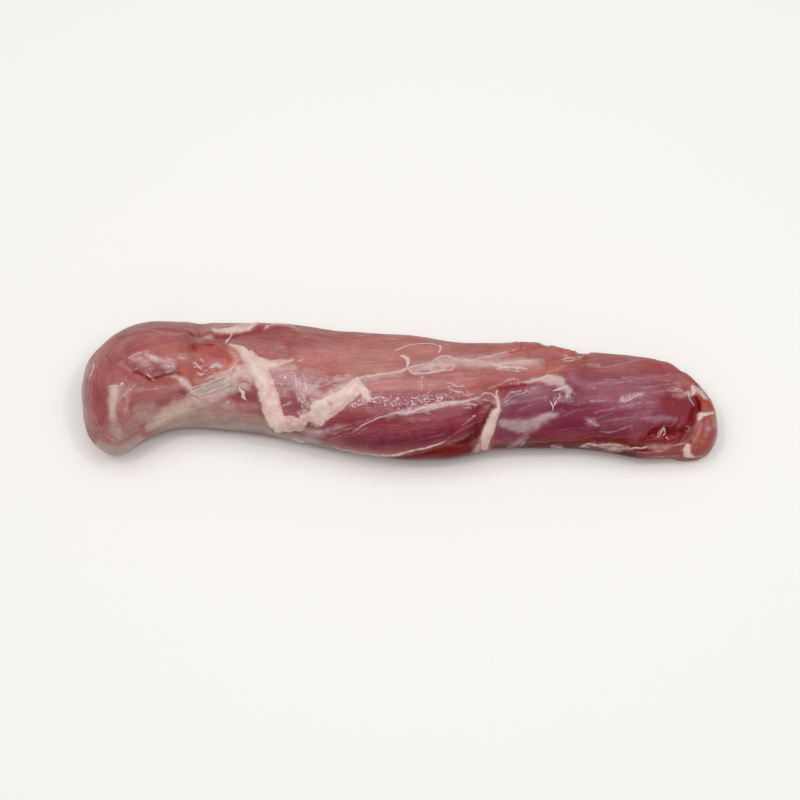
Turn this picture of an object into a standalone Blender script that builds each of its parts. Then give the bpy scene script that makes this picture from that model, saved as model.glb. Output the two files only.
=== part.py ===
# A whole raw pork tenderloin, lying on its flatter side.
# It runs along X, from the thick head at -X to the tail at +X, whose thin end is folded
# round like a cuff. +Y is the far side and +Z is up. All sizes are in metres.

import bmesh
import bpy
import numpy as np
from mathutils import Vector, noise

LENGTH = 0.330          # head to folded tail
RING_COUNT = 110        # cross-sections along the loin
RING_POINTS = 46        # points round each cross-section
CUFF_RINGS = 26         # cross-sections along the folded tail
CUFF_POINTS = 18

UPPER_FULLNESS = 2.05   # superellipse power above the widest line: 2 is an ellipse
LOWER_FULLNESS = 2.25   # below it, where the meat spreads under its own weight
WIDEST_AT = 0.44        # height of the widest line, as a share of the section's height
SETTLE = 0.0022         # how far the underside would bulge below z = 0 if nothing held it up

# Where the loin is cut across: x, far edge y, near edge y, crest z, lowest z, crest y
LOIN_SECTIONS = (
    (-0.1650, -0.0012, -0.0012, 0.0165, 0.0165, -0.0012),   # tip of the head
    (-0.1640, 0.0100, -0.0118, 0.0235, 0.0100, -0.0010),
    (-0.1612, 0.0168, -0.0225, 0.0310, 0.0050, -0.0010),
    (-0.1560, 0.0220, -0.0296, 0.0380, 0.0016, -0.0010),
    (-0.1470, 0.0292, -0.0342, 0.0435, -0.0010, 0.0015),
    (-0.1375, 0.0338, -0.0304, 0.0455, -SETTLE, 0.0050),    # belly of the head
    (-0.1277, 0.0357, -0.0240, 0.0450, -SETTLE, 0.0085),
    (-0.1111, 0.0362, -0.0196, 0.0425, -SETTLE, 0.0095),    # waist behind the head
    (-0.0847, 0.0358, -0.0216, 0.0405, -SETTLE, 0.0065),
    (-0.0583, 0.0362, -0.0254, 0.0405, -SETTLE, 0.0010),
    (-0.0282, 0.0306, -0.0318, 0.0420, -SETTLE, -0.0070),
    (0.0049, 0.0293, -0.0368, 0.0420, -SETTLE, -0.0095),    # thick of the loin
    (0.0267, 0.0264, -0.0357, 0.0405, -SETTLE, -0.0095),
    (0.0464, 0.0252, -0.0318, 0.0385, -SETTLE, -0.0080),
    (0.0728, 0.0246, -0.0297, 0.0365, -SETTLE, -0.0055),
    (0.0880, 0.0222, -0.0298, 0.0355, -SETTLE, -0.0050),
    (0.0960, 0.0208, -0.0302, 0.0350, -SETTLE, -0.0055),
    (0.1070, 0.0206, -0.0316, 0.0340, -SETTLE, -0.0065),
    (0.1308, 0.0190, -0.0346, 0.0300, -SETTLE, -0.0090),
    (0.1432, 0.0148, -0.0344, 0.0265, -SETTLE, -0.0110),
    (0.1520, 0.0072, -0.0325, 0.0232, -SETTLE, -0.0130),
    (0.1580, -0.0010, -0.0280, 0.0185, 0.0004, -0.0140),
    (0.1605, -0.0140, -0.0140, 0.0100, 0.0100, -0.0140),    # end that the cuff hides
)

# The folded tail, from the far corner round the end to the near edge:
# x, y, half thickness, top z, lowest z
CUFF_SECTIONS = (
    (0.1440, 0.0116, 0.0006, 0.0150, 0.0120),
    (0.1478, 0.0080, 0.0034, 0.0212, 0.0040),
    (0.1524, 0.0020, 0.0048, 0.0238, 0.0010),
    (0.1562, -0.0050, 0.0057, 0.0246, -0.0005),
    (0.1584, -0.0135, 0.0064, 0.0244, -0.0010),
    (0.1586, -0.0215, 0.0066, 0.0238, -0.0010),
    (0.1558, -0.0278, 0.0062, 0.0218, -0.0010),
    (0.1488, -0.0305, 0.0047, 0.0178, -0.0005),
    (0.1400, -0.0308, 0.0028, 0.0125, 0.0020),
    (0.1340, -0.0308, 0.0006, 0.0085, 0.0060),
)
CUFF_FULLNESS = 2.6

# Forms that stand proud of the upper side or sink into it, along a path of x, y points:
# fat and lobes have a positive rise, and clefts a negative one. reach is the half width.
UPPER_FORMS = {
    "fat collar": {
        "path": ((-0.0830, 0.0175), (-0.0755, 0.0105), (-0.0705, -0.0035),
                 (-0.0680, -0.0150), (-0.0650, -0.0205)),
        "reach": 0.0046, "rise": 0.0018,
    },
    "fat arm": {
        "path": ((-0.0620, -0.0230), (-0.0500, -0.0165), (-0.0370, -0.0090), (-0.0210, -0.0010)),
        "reach": 0.0066, "rise": 0.0017,
    },
    "head lobe": {
        "path": ((-0.1010, 0.0110), (-0.0930, 0.0080)),
        "reach": 0.0145, "rise": 0.0038,
    },
    "hollow beside the head lobe": {
        "path": ((-0.1010, -0.0110), (-0.0850, -0.0080)),
        "reach": 0.0095, "rise": -0.0024,
    },
    "cleft across the head": {
        "path": ((-0.1375, 0.0045), (-0.1300, 0.0000), (-0.1210, 0.0018), (-0.1140, 0.0025)),
        "reach": 0.0042, "rise": -0.0034,
    },
    "upper lobe of the head": {
        "path": ((-0.1330, 0.0150), (-0.1180, 0.0150)),
        "reach": 0.0130, "rise": 0.0016,
    },
    "lower lobe of the head": {
        "path": ((-0.1330, -0.0120), (-0.1200, -0.0080)),
        "reach": 0.0105, "rise": 0.0016,
    },
    "notch behind the head": {
        "path": ((-0.1040, 0.0330), (-0.1030, 0.0230)),
        "reach": 0.0055, "rise": -0.0022,
    },
    "fat band across the loin": {
        "path": ((0.0500, -0.0080), (0.0490, -0.0180), (0.0450, -0.0270), (0.0410, -0.0320)),
        "reach": 0.0042, "rise": 0.0012,
    },
    "groove before the tail muscle": {
        "path": ((0.0560, -0.0060), (0.0700, -0.0020), (0.0880, 0.0020)),
        "reach": 0.0050, "rise": -0.0012,
    },
    "far edge fat": {
        "path": ((-0.0960, 0.0290), (-0.0780, 0.0310), (-0.0600, 0.0330)),
        "reach": 0.0042, "rise": 0.0014,
    },
    "torn flap on the far edge": {
        "path": ((0.0560, 0.0190), (0.0720, 0.0200), (0.0880, 0.0170)),
        "reach": 0.0052, "rise": 0.0018,
    },
    "pocket inside the cuff": {
        "path": ((0.1300, -0.0230), (0.1450, -0.0200), (0.1500, -0.0080)),
        "reach": 0.0068, "rise": -0.0020,
    },
}

BUNDLES = 5             # shallow muscle bundles round the loin
BUNDLE_DEPTH = 0.0007
LONG_TWIST = 0.055      # the bundles wind slowly round the loin: metres for each radian of the
SHORT_TWIST = 0.023     # two waves that turn them, and how far each wave turns them, in radians
LONG_TURN = 0.9
SHORT_TURN = 0.5
SHORT_TURN_START = 1.3
LUMP_SIZE = 0.030       # width of the gentle lumps
LUMP_HEIGHT = 0.0009
CALM_TIP = 0.006        # the relief fades out over this much of each end
UPPER_SLOPE = 2.5       # how sharply the upper forms stop where the side turns under
UPPER_MARGIN = 0.5

RAW_MEAT_COLOUR = (0.36, 0.11, 0.11, 1.0)
RAW_MEAT_ROUGHNESS = 0.38


def clear_scene():
    for old in list(bpy.data.objects):
        bpy.data.objects.remove(old)


def smooth_through(knots, values, wanted):
    """Values of a cubic through all knots at the wanted places, with no overshoot between them."""
    gaps = np.diff(knots)[:, None]
    slopes = np.diff(values, axis=0) / gaps
    tangents = np.zeros_like(values)
    tangents[0], tangents[-1] = slopes[0], slopes[-1]
    same_way = slopes[:-1] * slopes[1:] > 0
    total = np.where(same_way, slopes[:-1] + slopes[1:], 1.0)
    tangents[1:-1] = np.where(same_way, 2 * slopes[:-1] * slopes[1:] / total, 0.0)
    span = np.clip(np.searchsorted(knots, wanted, side="right") - 1, 0, len(gaps) - 1)
    gap = gaps[span]
    u = ((wanted - knots[span])[:, None]) / gap
    start, end = values[span], values[span + 1]
    return (
        start * (2 * u**3 - 3 * u**2 + 1)
        + tangents[span] * gap * (u**3 - 2 * u**2 + u)
        + end * (3 * u**2 - 2 * u**3)
        + tangents[span + 1] * gap * (u**3 - u**2)
    )


def evenly_along(sections, count):
    """The section values at count places, spread evenly over the surface from end to end."""
    rows = np.array(sections)
    chords = np.linalg.norm(np.diff(rows[:, :4], axis=0), axis=1)
    knots = np.concatenate([[0.0], np.cumsum(chords)])
    return smooth_through(knots, rows, np.linspace(0.0, knots[-1], count))


def even_ring(outline, count):
    """Points at equal steps along a closed outline."""
    closed = np.vstack([outline, outline[:1]])
    walked = np.concatenate([[0.0], np.cumsum(np.linalg.norm(np.diff(closed, axis=0), axis=1))])
    places = np.linspace(0.0, walked[-1], count, endpoint=False)
    return np.stack([np.interp(places, walked, closed[:, axis]) for axis in (0, 1)], axis=1)


def superellipse(half_width, above, below, upper_power, lower_power, samples=360):
    """A closed outline of across, up pairs, centred on its widest line."""
    angle = np.linspace(0.0, 2 * np.pi, samples, endpoint=False)
    power = np.where(np.sin(angle) >= 0, upper_power, lower_power)
    across = half_width * np.sign(np.cos(angle)) * np.abs(np.cos(angle)) ** (2 / power)
    height = np.where(np.sin(angle) >= 0, above, below)
    up = height * np.sign(np.sin(angle)) * np.abs(np.sin(angle)) ** (2 / power)
    return np.stack([across, up], axis=1)


def loin_rings():
    rings = []
    for x, far, near, crest, low, crest_y in evenly_along(LOIN_SECTIONS, RING_COUNT):
        middle, half_width = (far + near) / 2, (far - near) / 2
        widest = low + WIDEST_AT * (crest - low)
        outline = superellipse(
            half_width, crest - widest, widest - low, UPPER_FULLNESS, LOWER_FULLNESS
        )
        rise = np.clip(outline[:, 1] / max(crest - widest, 1e-6), 0, 1)
        outline[:, 0] += (crest_y - middle) * rise**2
        ring = even_ring(outline, RING_POINTS)
        rings.append([Vector((x, middle + y, widest + z)) for y, z in ring])
    return rings


def cuff_rings():
    rows = evenly_along(CUFF_SECTIONS, CUFF_RINGS)
    along = np.gradient(rows[:, :2], axis=0)
    along /= np.linalg.norm(along, axis=1)[:, None]
    rings = []
    for (x, y, half, top, low), (dx, dy) in zip(rows, along):
        middle_z = (top + low) / 2
        outline = superellipse(half, top - middle_z, middle_z - low, CUFF_FULLNESS, CUFF_FULLNESS)
        ring = even_ring(outline, CUFF_POINTS)
        # across is square to the fold's path, so that the cuff keeps its thickness round the bend
        rings.append([Vector((x + dy * w, y - dx * w, middle_z + z)) for w, z in ring])
    return rings


def skin_over(name, rings):
    """One closed mesh: quads between neighbouring rings, and a fan at each end."""
    body = bmesh.new()
    loops = [[body.verts.new(point) for point in ring] for ring in rings]
    count = len(loops[0])
    for one, following in zip(loops, loops[1:]):
        for i in range(count):
            j = (i + 1) % count
            body.faces.new((one[i], one[j], following[j], following[i]))
    for loop in (loops[0], loops[-1]):
        tip = body.verts.new(sum((v.co for v in loop), Vector()) / count)
        for i in range(count):
            body.faces.new((loop[i], loop[(i + 1) % count], tip))
    bmesh.ops.recalc_face_normals(body, faces=body.faces)
    mesh = bpy.data.meshes.new(name)
    body.to_mesh(mesh)
    body.free()
    made = bpy.data.objects.new(name, mesh)
    bpy.context.scene.collection.objects.link(made)
    return made


def distance_to_path(points, path):
    """Distance in plan from each point to the nearest stretch of the path."""
    nearest = np.full(len(points), np.inf)
    corners = np.array(path)
    for a, b in zip(corners, corners[1:]):
        step = b - a
        share = np.clip(((points[:, :2] - a) @ step) / (step @ step), 0, 1)
        nearest = np.minimum(nearest, np.linalg.norm(points[:, :2] - a - share[:, None] * step, axis=1))
    return nearest


def soft_bump(distance, reach):
    return np.clip(1 - (distance / reach) ** 2, 0, None) ** 2


def read_points(mesh):
    points = np.empty(len(mesh.vertices) * 3)
    mesh.vertices.foreach_get("co", points)
    normals = np.empty(len(mesh.vertices) * 3)
    mesh.vertices.foreach_get("normal", normals)
    return points.reshape(-1, 3), normals.reshape(-1, 3)


def write_points(mesh, points):
    mesh.vertices.foreach_set("co", points.ravel())
    mesh.update()


def add_relief(loin):
    """Muscle bundles and lumps all round, then the named forms on the upper side."""
    points, normals = read_points(loin.data)
    x = points[:, 0]
    around = np.arctan2(normals[:, 1], normals[:, 2])
    twist = LONG_TURN * np.sin(x / LONG_TWIST)
    twist += SHORT_TURN * np.sin(x / SHORT_TWIST + SHORT_TURN_START)
    push = BUNDLE_DEPTH * np.cos(BUNDLES * around + twist)
    push += LUMP_HEIGHT * np.array([noise.noise(Vector(p) / LUMP_SIZE) for p in points])
    facing_up = np.clip(normals[:, 2] * UPPER_SLOPE + UPPER_MARGIN, 0, 1)
    for form in UPPER_FORMS.values():
        bump = soft_bump(distance_to_path(points, form["path"]), form["reach"])
        push += form["rise"] * bump * facing_up
    calm_at_tips = np.clip((LENGTH / 2 - np.abs(x)) / CALM_TIP, 0, 1)
    write_points(loin.data, points + normals * (push * calm_at_tips)[:, None])


def fuse(loin, cuff):
    """Joins the folded tail to the loin as one solid."""
    union = loin.modifiers.new("fold", "BOOLEAN")
    union.operation = "UNION"
    union.solver = "EXACT"
    union.object = cuff
    bpy.context.view_layer.update()
    joined = bpy.data.meshes.new_from_object(loin.evaluated_get(bpy.context.evaluated_depsgraph_get()))
    loin.modifiers.clear()
    loin.data = joined
    bpy.data.objects.remove(cuff)


def rest_and_centre(loin):
    """Flattens the underside at z = 0 and puts the origin under the middle of the loin."""
    points, _ = read_points(loin.data)
    points[:, 2] = np.maximum(points[:, 2], 0.0)
    middle = (points.max(axis=0) + points.min(axis=0)) / 2
    points[:, :2] -= middle[:2]
    points[:, 0] *= LENGTH / np.ptp(points[:, 0])
    write_points(loin.data, points)


def raw_meat():
    material = bpy.data.materials.new("raw_meat")
    material.use_nodes = True
    surface = material.node_tree.nodes["Principled BSDF"]
    surface.inputs["Base Color"].default_value = RAW_MEAT_COLOUR
    surface.inputs["Roughness"].default_value = RAW_MEAT_ROUGHNESS
    surface.inputs["Metallic"].default_value = 0.0
    return material


def make_tenderloin():
    loin = skin_over("tenderloin", loin_rings())
    cuff = skin_over("folded_tail", cuff_rings())
    add_relief(loin)
    fuse(loin, cuff)
    rest_and_centre(loin)
    loin.data.materials.clear()
    loin.data.materials.append(raw_meat())
    loin.data.shade_smooth()


clear_scene()
make_tenderloin()
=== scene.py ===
# A whole raw pork tenderloin: wet muscle with cream fat, silverskin and thin torn membranes.
import math

import bmesh
import bpy
import numpy as np
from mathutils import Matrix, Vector, noise
from mathutils.bvhtree import BVHTree


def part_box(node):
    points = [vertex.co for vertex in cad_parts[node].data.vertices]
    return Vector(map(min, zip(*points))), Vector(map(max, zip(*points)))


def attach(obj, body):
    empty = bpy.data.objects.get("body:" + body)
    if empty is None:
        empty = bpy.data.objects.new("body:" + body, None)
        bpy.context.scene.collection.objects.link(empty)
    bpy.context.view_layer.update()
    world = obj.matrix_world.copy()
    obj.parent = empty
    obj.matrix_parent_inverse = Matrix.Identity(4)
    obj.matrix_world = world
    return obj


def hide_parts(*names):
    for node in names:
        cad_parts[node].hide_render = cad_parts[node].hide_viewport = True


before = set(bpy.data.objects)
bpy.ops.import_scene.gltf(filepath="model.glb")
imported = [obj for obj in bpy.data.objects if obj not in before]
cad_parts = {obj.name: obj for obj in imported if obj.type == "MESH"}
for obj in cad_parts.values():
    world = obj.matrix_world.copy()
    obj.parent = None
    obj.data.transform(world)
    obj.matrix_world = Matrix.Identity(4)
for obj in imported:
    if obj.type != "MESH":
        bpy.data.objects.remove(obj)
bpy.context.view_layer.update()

meatLow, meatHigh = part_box("tenderloin")
meatLength = meatHigh.x - meatLow.x
mmPerMetre = 1000


# Where the picture is taken from. Places on the meat below are read in pixels of an 800 px frame.
picture = {
    "sizePx": 800,
    "meatEndsPx": (81, 718),
    "meatMiddlePx": (399.5, 390.0),
    "elevationDeg": 75,
    "distance": 0.85,
    "aimHeight": 0.020,
    "sensorMm": 36,
    "nearClip": 0.01,
    "depthWeight": 0.35,     # how much depth counts when the width of a stroke is measured
}
tilt = math.radians(picture["elevationDeg"])
mmPerPx = mmPerMetre * meatLength / (picture["meatEndsPx"][1] - picture["meatEndsPx"][0])
focalPx = mmPerMetre * picture["distance"] / mmPerPx
toCamera = Vector((0, -math.cos(tilt), math.sin(tilt)))
imageUp = Vector((0, math.sin(tilt), math.cos(tilt)))
middlePx = picture["sizePx"] / 2
aimPoint = Vector((
    (middlePx - picture["meatMiddlePx"][0]) * mmPerPx / mmPerMetre,
    -(middlePx - picture["meatMiddlePx"][1]) * mmPerPx / mmPerMetre / math.sin(tilt),
    picture["aimHeight"],
))
cameraPoint = aimPoint + toCamera * picture["distance"]


def addObject(name, data):
    made = bpy.data.objects.new(name, data)
    bpy.context.scene.collection.objects.link(made)
    return made


def placeCamera():
    lens = bpy.data.cameras.new("camera")
    lens.sensor_width = picture["sensorMm"]
    lens.lens = focalPx * picture["sensorMm"] / picture["sizePx"]
    lens.clip_start = picture["nearClip"]
    camera = addObject("camera", lens)
    camera.location = cameraPoint
    camera.rotation_euler = (math.pi / 2 - tilt, 0, 0)
    bpy.context.scene.camera = camera


def intoPicture(points):
    # points in mm to mm across and down the picture, and weighted depth behind it
    away = points / mmPerMetre - np.array(cameraPoint)
    depth = -away @ np.array(toCamera)
    across = focalPx * away[:, 0] / depth
    down = -focalPx * (away @ np.array(imageUp)) / depth
    behind = depth * mmPerMetre * picture["depthWeight"]
    return np.stack([across * mmPerPx, down * mmPerPx, behind], axis=1)


def onMeat(tree, xPx, yPx):
    # the point of the meat that shows at a place in the picture, or the nearest one to it
    ray = (Vector((1, 0, 0)) * (xPx - middlePx) + imageUp * (middlePx - yPx)) / focalPx - toCamera
    ray.normalize()
    place, normal, _, _ = tree.ray_cast(cameraPoint, ray)
    if place is None:
        place, normal, _, _ = tree.find_nearest(cameraPoint + ray * picture["distance"])
    return place, normal


def linear(hexColour):
    parts = [int(hexColour[i:i + 2], 16) / 255 for i in (0, 2, 4)]
    return [p / 12.92 if p <= 0.04045 else ((p + 0.055) / 1.055) ** 2.4 for p in parts] + [1.0]


def softStep(low, high, value):
    share = np.clip((value - low) / (high - low), 0, 1)
    return share * share * (3 - 2 * share)


def insideShare(depth, edge):
    # 0 outside and 1 inside, rising over an edge of the given width
    return softStep(-edge / 2, edge / 2, depth)


def noiseOver(points, cellMm, start=0.0, stretch=(1, 1, 1)):
    # smooth noise from -1 to 1 with cells of the given size, longer where stretch is above 1
    cells = points / (cellMm * np.array(stretch)) + start
    return np.array([noise.noise(cell) for cell in cells.tolist()])


# The skin of the meat: the solid's own form, remeshed finely enough to hold fibres and edges
skin = {
    "weldMm": 0.01,
    "voxelMm": 1.6,
    "smoothRounds": 14,
    "evenRounds": 4,         # after each halving of the faces
    "smoothShare": 0.5,
    "unshrinkShare": 0.52,
    "seenAbove": 0.25,       # faces that turn this far to the camera are halved once
    "fineReachMm": 0.55,     # and those this near a fine stroke twice
    "fineFrom": 0.6,         # where the stroke shows at least this strongly
    "restingMm": 3.0,        # relief sets in over this height above the floor
}


def readPoints(mesh, what="co"):
    values = np.empty(len(mesh.vertices) * 3)
    mesh.vertices.foreach_get(what, values)
    return values.reshape(-1, 3)


def readFaces(mesh, what):
    values = np.empty(len(mesh.polygons) * 3)
    mesh.polygons.foreach_get(what, values)
    return values.reshape(-1, 3)


def writePoints(mesh, points):
    mesh.vertices.foreach_set("co", points.ravel())
    mesh.update()


def treeOf(mesh):
    places = [corner.co.copy() for corner in mesh.vertices]
    return BVHTree.FromPolygons(places, [tuple(face.vertices) for face in mesh.polygons])


def smoothFacets(mesh, rounds):
    # pulls each point to its neighbours' middle and a little more than as far back again, so the
    # facets go and the size stays
    edges = np.empty(len(mesh.edges) * 2, dtype=np.int64)
    mesh.edges.foreach_get("vertices", edges)
    one, other = edges.reshape(-1, 2).T
    points = readPoints(mesh)
    count = len(points)
    neighbours = np.bincount(one, minlength=count) + np.bincount(other, minlength=count)
    resting = points[:, 2] < skin["weldMm"] / mmPerMetre
    for share in (skin["smoothShare"], -skin["unshrinkShare"]) * rounds:
        middle = np.stack([
            np.bincount(one, points[other, axis], count) + np.bincount(other, points[one, axis], count)
            for axis in range(3)
        ], axis=1) / neighbours[:, None]
        points = points + share * (middle - points)
        points[resting, 2] = 0.0
    points[:, 2] = np.maximum(points[:, 2], 0.0)
    writePoints(mesh, points)


def remeshedMeat():
    welded = bmesh.new()
    welded.from_mesh(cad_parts["tenderloin"].data)
    bmesh.ops.remove_doubles(welded, verts=welded.verts, dist=skin["weldMm"] / mmPerMetre)
    mesh = bpy.data.meshes.new("meatSkin")
    welded.to_mesh(mesh)
    welded.free()
    meat = addObject("meatSkin", mesh)
    remesh = meat.modifiers.new("remesh", "REMESH")
    remesh.mode = "VOXEL"
    remesh.voxel_size = skin["voxelMm"] / mmPerMetre
    remesh.use_smooth_shade = True
    graph = bpy.context.evaluated_depsgraph_get()
    meat.data = bpy.data.meshes.new_from_object(meat.evaluated_get(graph))
    meat.modifiers.clear()
    smoothFacets(meat.data, skin["smoothRounds"])
    return meat


def halveFaces(mesh, chosen):
    # cuts each chosen face in four, and evens out the new points
    body = bmesh.new()
    body.from_mesh(mesh)
    body.faces.ensure_lookup_table()
    edges = {edge for i in np.flatnonzero(chosen) for edge in body.faces[i].edges}
    bmesh.ops.subdivide_edges(body, edges=list(edges), cuts=1, use_grid_fill=True)
    bmesh.ops.triangulate(body, faces=[face for face in body.faces if len(face.verts) > 4])
    body.to_mesh(mesh)
    body.free()
    mesh.shade_smooth()
    smoothFacets(mesh, skin["evenRounds"])


# Each stroke below is a centre line: x, y in the picture and half the stroke's width, all in px.
# Strokes that show by degrees start with how strongly. raggedTimes is how much of the fat's
# ragged edge a layer shares.
fat = {
    "thicknessMm": 1.3,
    "edgeMm": 3.8,           # from the edge of the fat up to its full thickness
    "bareMm": (-0.5, 1.0),   # depths in the fat over which the fibres under it go
    "keptMm": (-3, 3),       # depths that are told apart on the skin
    "raggedMm": 0.26,
    "raggedCellMm": 2.4,
    "fineRaggedShare": 0.5,
    "fineRaggedTimes": 2.3,  # how many times smaller the cells of the finer edge are
    "lumpMm": 0.30,
    "lumpCellMm": 3.4,
    "fineLumpMm": 0.13,
    "fineLumpCellMm": 1.6,
    "haloMm": (-2.0, 0.3),   # depths over which the fat thins out to a clear film
    "haloShare": 0.3,
    "haloBase": 0.6,
    "haloSwing": 0.8,
}
fat["strokes"] = {
    "collar": ((230.5, 345.5, 1.2), (237, 348.4, 2.8), (243.8, 352.8, 5.6), (249.6, 358.5, 8.3),
        (255.2, 366, 9.7), (262, 375, 9), (266, 386, 9.4), (269.5, 398, 10), (272.5, 410, 10),
        (276, 421, 8.6), (278, 427, 6)),
    "collar spur": ((261, 364, 6.6), (269, 365.4, 5.6), (277, 364, 3.8), (285, 361.8, 2.4),
        (292.6, 359.8, 1)),
    "lumps": ((283, 423.4, 8), (291, 424.6, 8), (298.5, 424.6, 6.4), (304, 421.5, 4)),
    "tip": ((291, 438.5, 1), (297, 441.5, 1.6), (303.5, 444.5, 1.6)),
    "foot of the arm": ((314.5, 418.5, 5.6), (319, 418.2, 7.2)),
    "root of the arm": ((303, 418, 3.6), (309, 416.5, 5), (314, 415, 6)),
    "arm": ((321, 410.8, 11.6), (327.4, 407.4, 10.6), (335, 403.2, 9.6), (343, 397.8, 9),
        (350.6, 391.6, 8.6), (355.5, 385, 6), (357.5, 380, 3)),
    "arm finger": ((355, 383, 5), (361, 388.5, 5), (366.3, 394.5, 4.6), (369, 398.5, 3.4)),
    "back strip": ((213, 329.6, 1.2), (220, 331, 2.5), (226, 331, 2.6), (232, 330, 2.9), (240, 328.8, 4.2),
        (247, 328.2, 4.4), (253, 326.6, 3.6), (259, 323.8, 2)),
    "bright tendon": ((492, 364.4, 0.6), (498, 367.2, 1.2), (506, 368.4, 1.3), (515, 368.2, 1),
        (525, 369.2, 0.4)),
    "back streak": ((264.5, 330.4, 0.6), (270, 327.8, 1), (275, 325.6, 1.2), (282, 325.2, 2.2),
        (288, 324.6, 1.4)),
    "band": ((498, 409, 2.4), (494.8, 414.6, 4.9), (491.9, 422, 5.5), (488.8, 430, 5.6), (486, 438, 4.9),
        (484.8, 444, 4.4), (484, 446.8, 3.4)),
    "strap above the band": ((496.8, 393, 1.2), (497.4, 399, 1.6), (498.8, 405, 1.9), (499, 410.5, 2.3)),
    "cuff top": ((693.4, 386.6, 1.6), (694.4, 389.6, 2.2), (693.6, 392.6, 1.8), (691.6, 395, 0.9)),
    "cuff patch": ((698.6, 418.6, 2.2), (700, 415.6, 3), (704, 413.6, 2), (708.5, 412.8, 1.7),
        (713, 413.2, 1.3)),
    "cuff lower rim": ((688, 445.8, 2.2), (686.4, 450, 4), (687, 454.4, 3.6), (693, 457.4, 2)),
}

# Where blood or thin flesh shows pink in the fat
blush = {
    "edgeMm": 2.2,
    "raggedTimes": 2,
}
blush["strokes"] = {
    "lumps": (0.5, (289, 420, 4), (295, 426, 6), (301, 425, 5)),
    "spot on the arm": (1.0, (328.8, 402.2, 1), (331, 403.4, 1.1)),
    "root of the arm": (0.35, (306, 417, 4), (312, 422, 3)),
    "underside of the arm": (0.4, (333, 412, 1.4), (344, 404.5, 1.4), (354, 397, 1.2)),
    "right side of the collar": (0.35, (268, 370, 1.4), (274, 385, 2), (279, 398, 2), (283, 410, 2)),
    "spur": (0.4, (278, 363, 2.4), (292, 360, 2.4)),
    "band": (0.12, (499, 412, 2), (489, 431, 4), (483, 444, 4)),
    # darker and pinker at the band's foot near the floor: partly painted shade
    "foot of the band": (0.6, (480, 447, 2), (477, 452, 2.4)),
    "strap": (0.25, (498, 396, 2), (499.6, 406, 2.4)),
    "lower band": (0.25, (488.6, 434, 3.4), (486, 440, 3.6), (483.6, 446, 3)),
    "top of the collar": (0.3, (231, 347, 2), (240, 353, 3)),
    "back strip": (0.45, (240, 327, 1.4), (249, 327, 2), (256, 325, 1.6), (272, 326.5, 1.4)),
}

# Silverskin: the tough grey sheet over the head's front side
silverskin = {
    "raiseMm": 0.15,
    "edgeMm": 4.0,
    "raggedTimes": 2,
    "lowShare": 0.45,        # how much of it shows near the floor, where the darker flesh under it shows as painted shade
    "fadeMm": (3, 13),       # heights between which it comes up to the whole
}
silverskin["strokes"] = {
    "front sheet": ((168, 425, 4), (178, 420, 6.5), (190, 417, 8), (203, 418, 9), (222, 421, 9),
        (242, 422.5, 9), (258, 423.5, 8), (268, 427, 5)),
    "under the lumps": ((282, 438, 4), (300, 439, 4.2), (312, 440, 3), (320, 441.5, 1.8)),
    "chin": ((99, 444, 2), (107, 449.4, 2.8), (118, 452, 3.4), (129, 447, 3), (138, 440, 2)),
}
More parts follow.
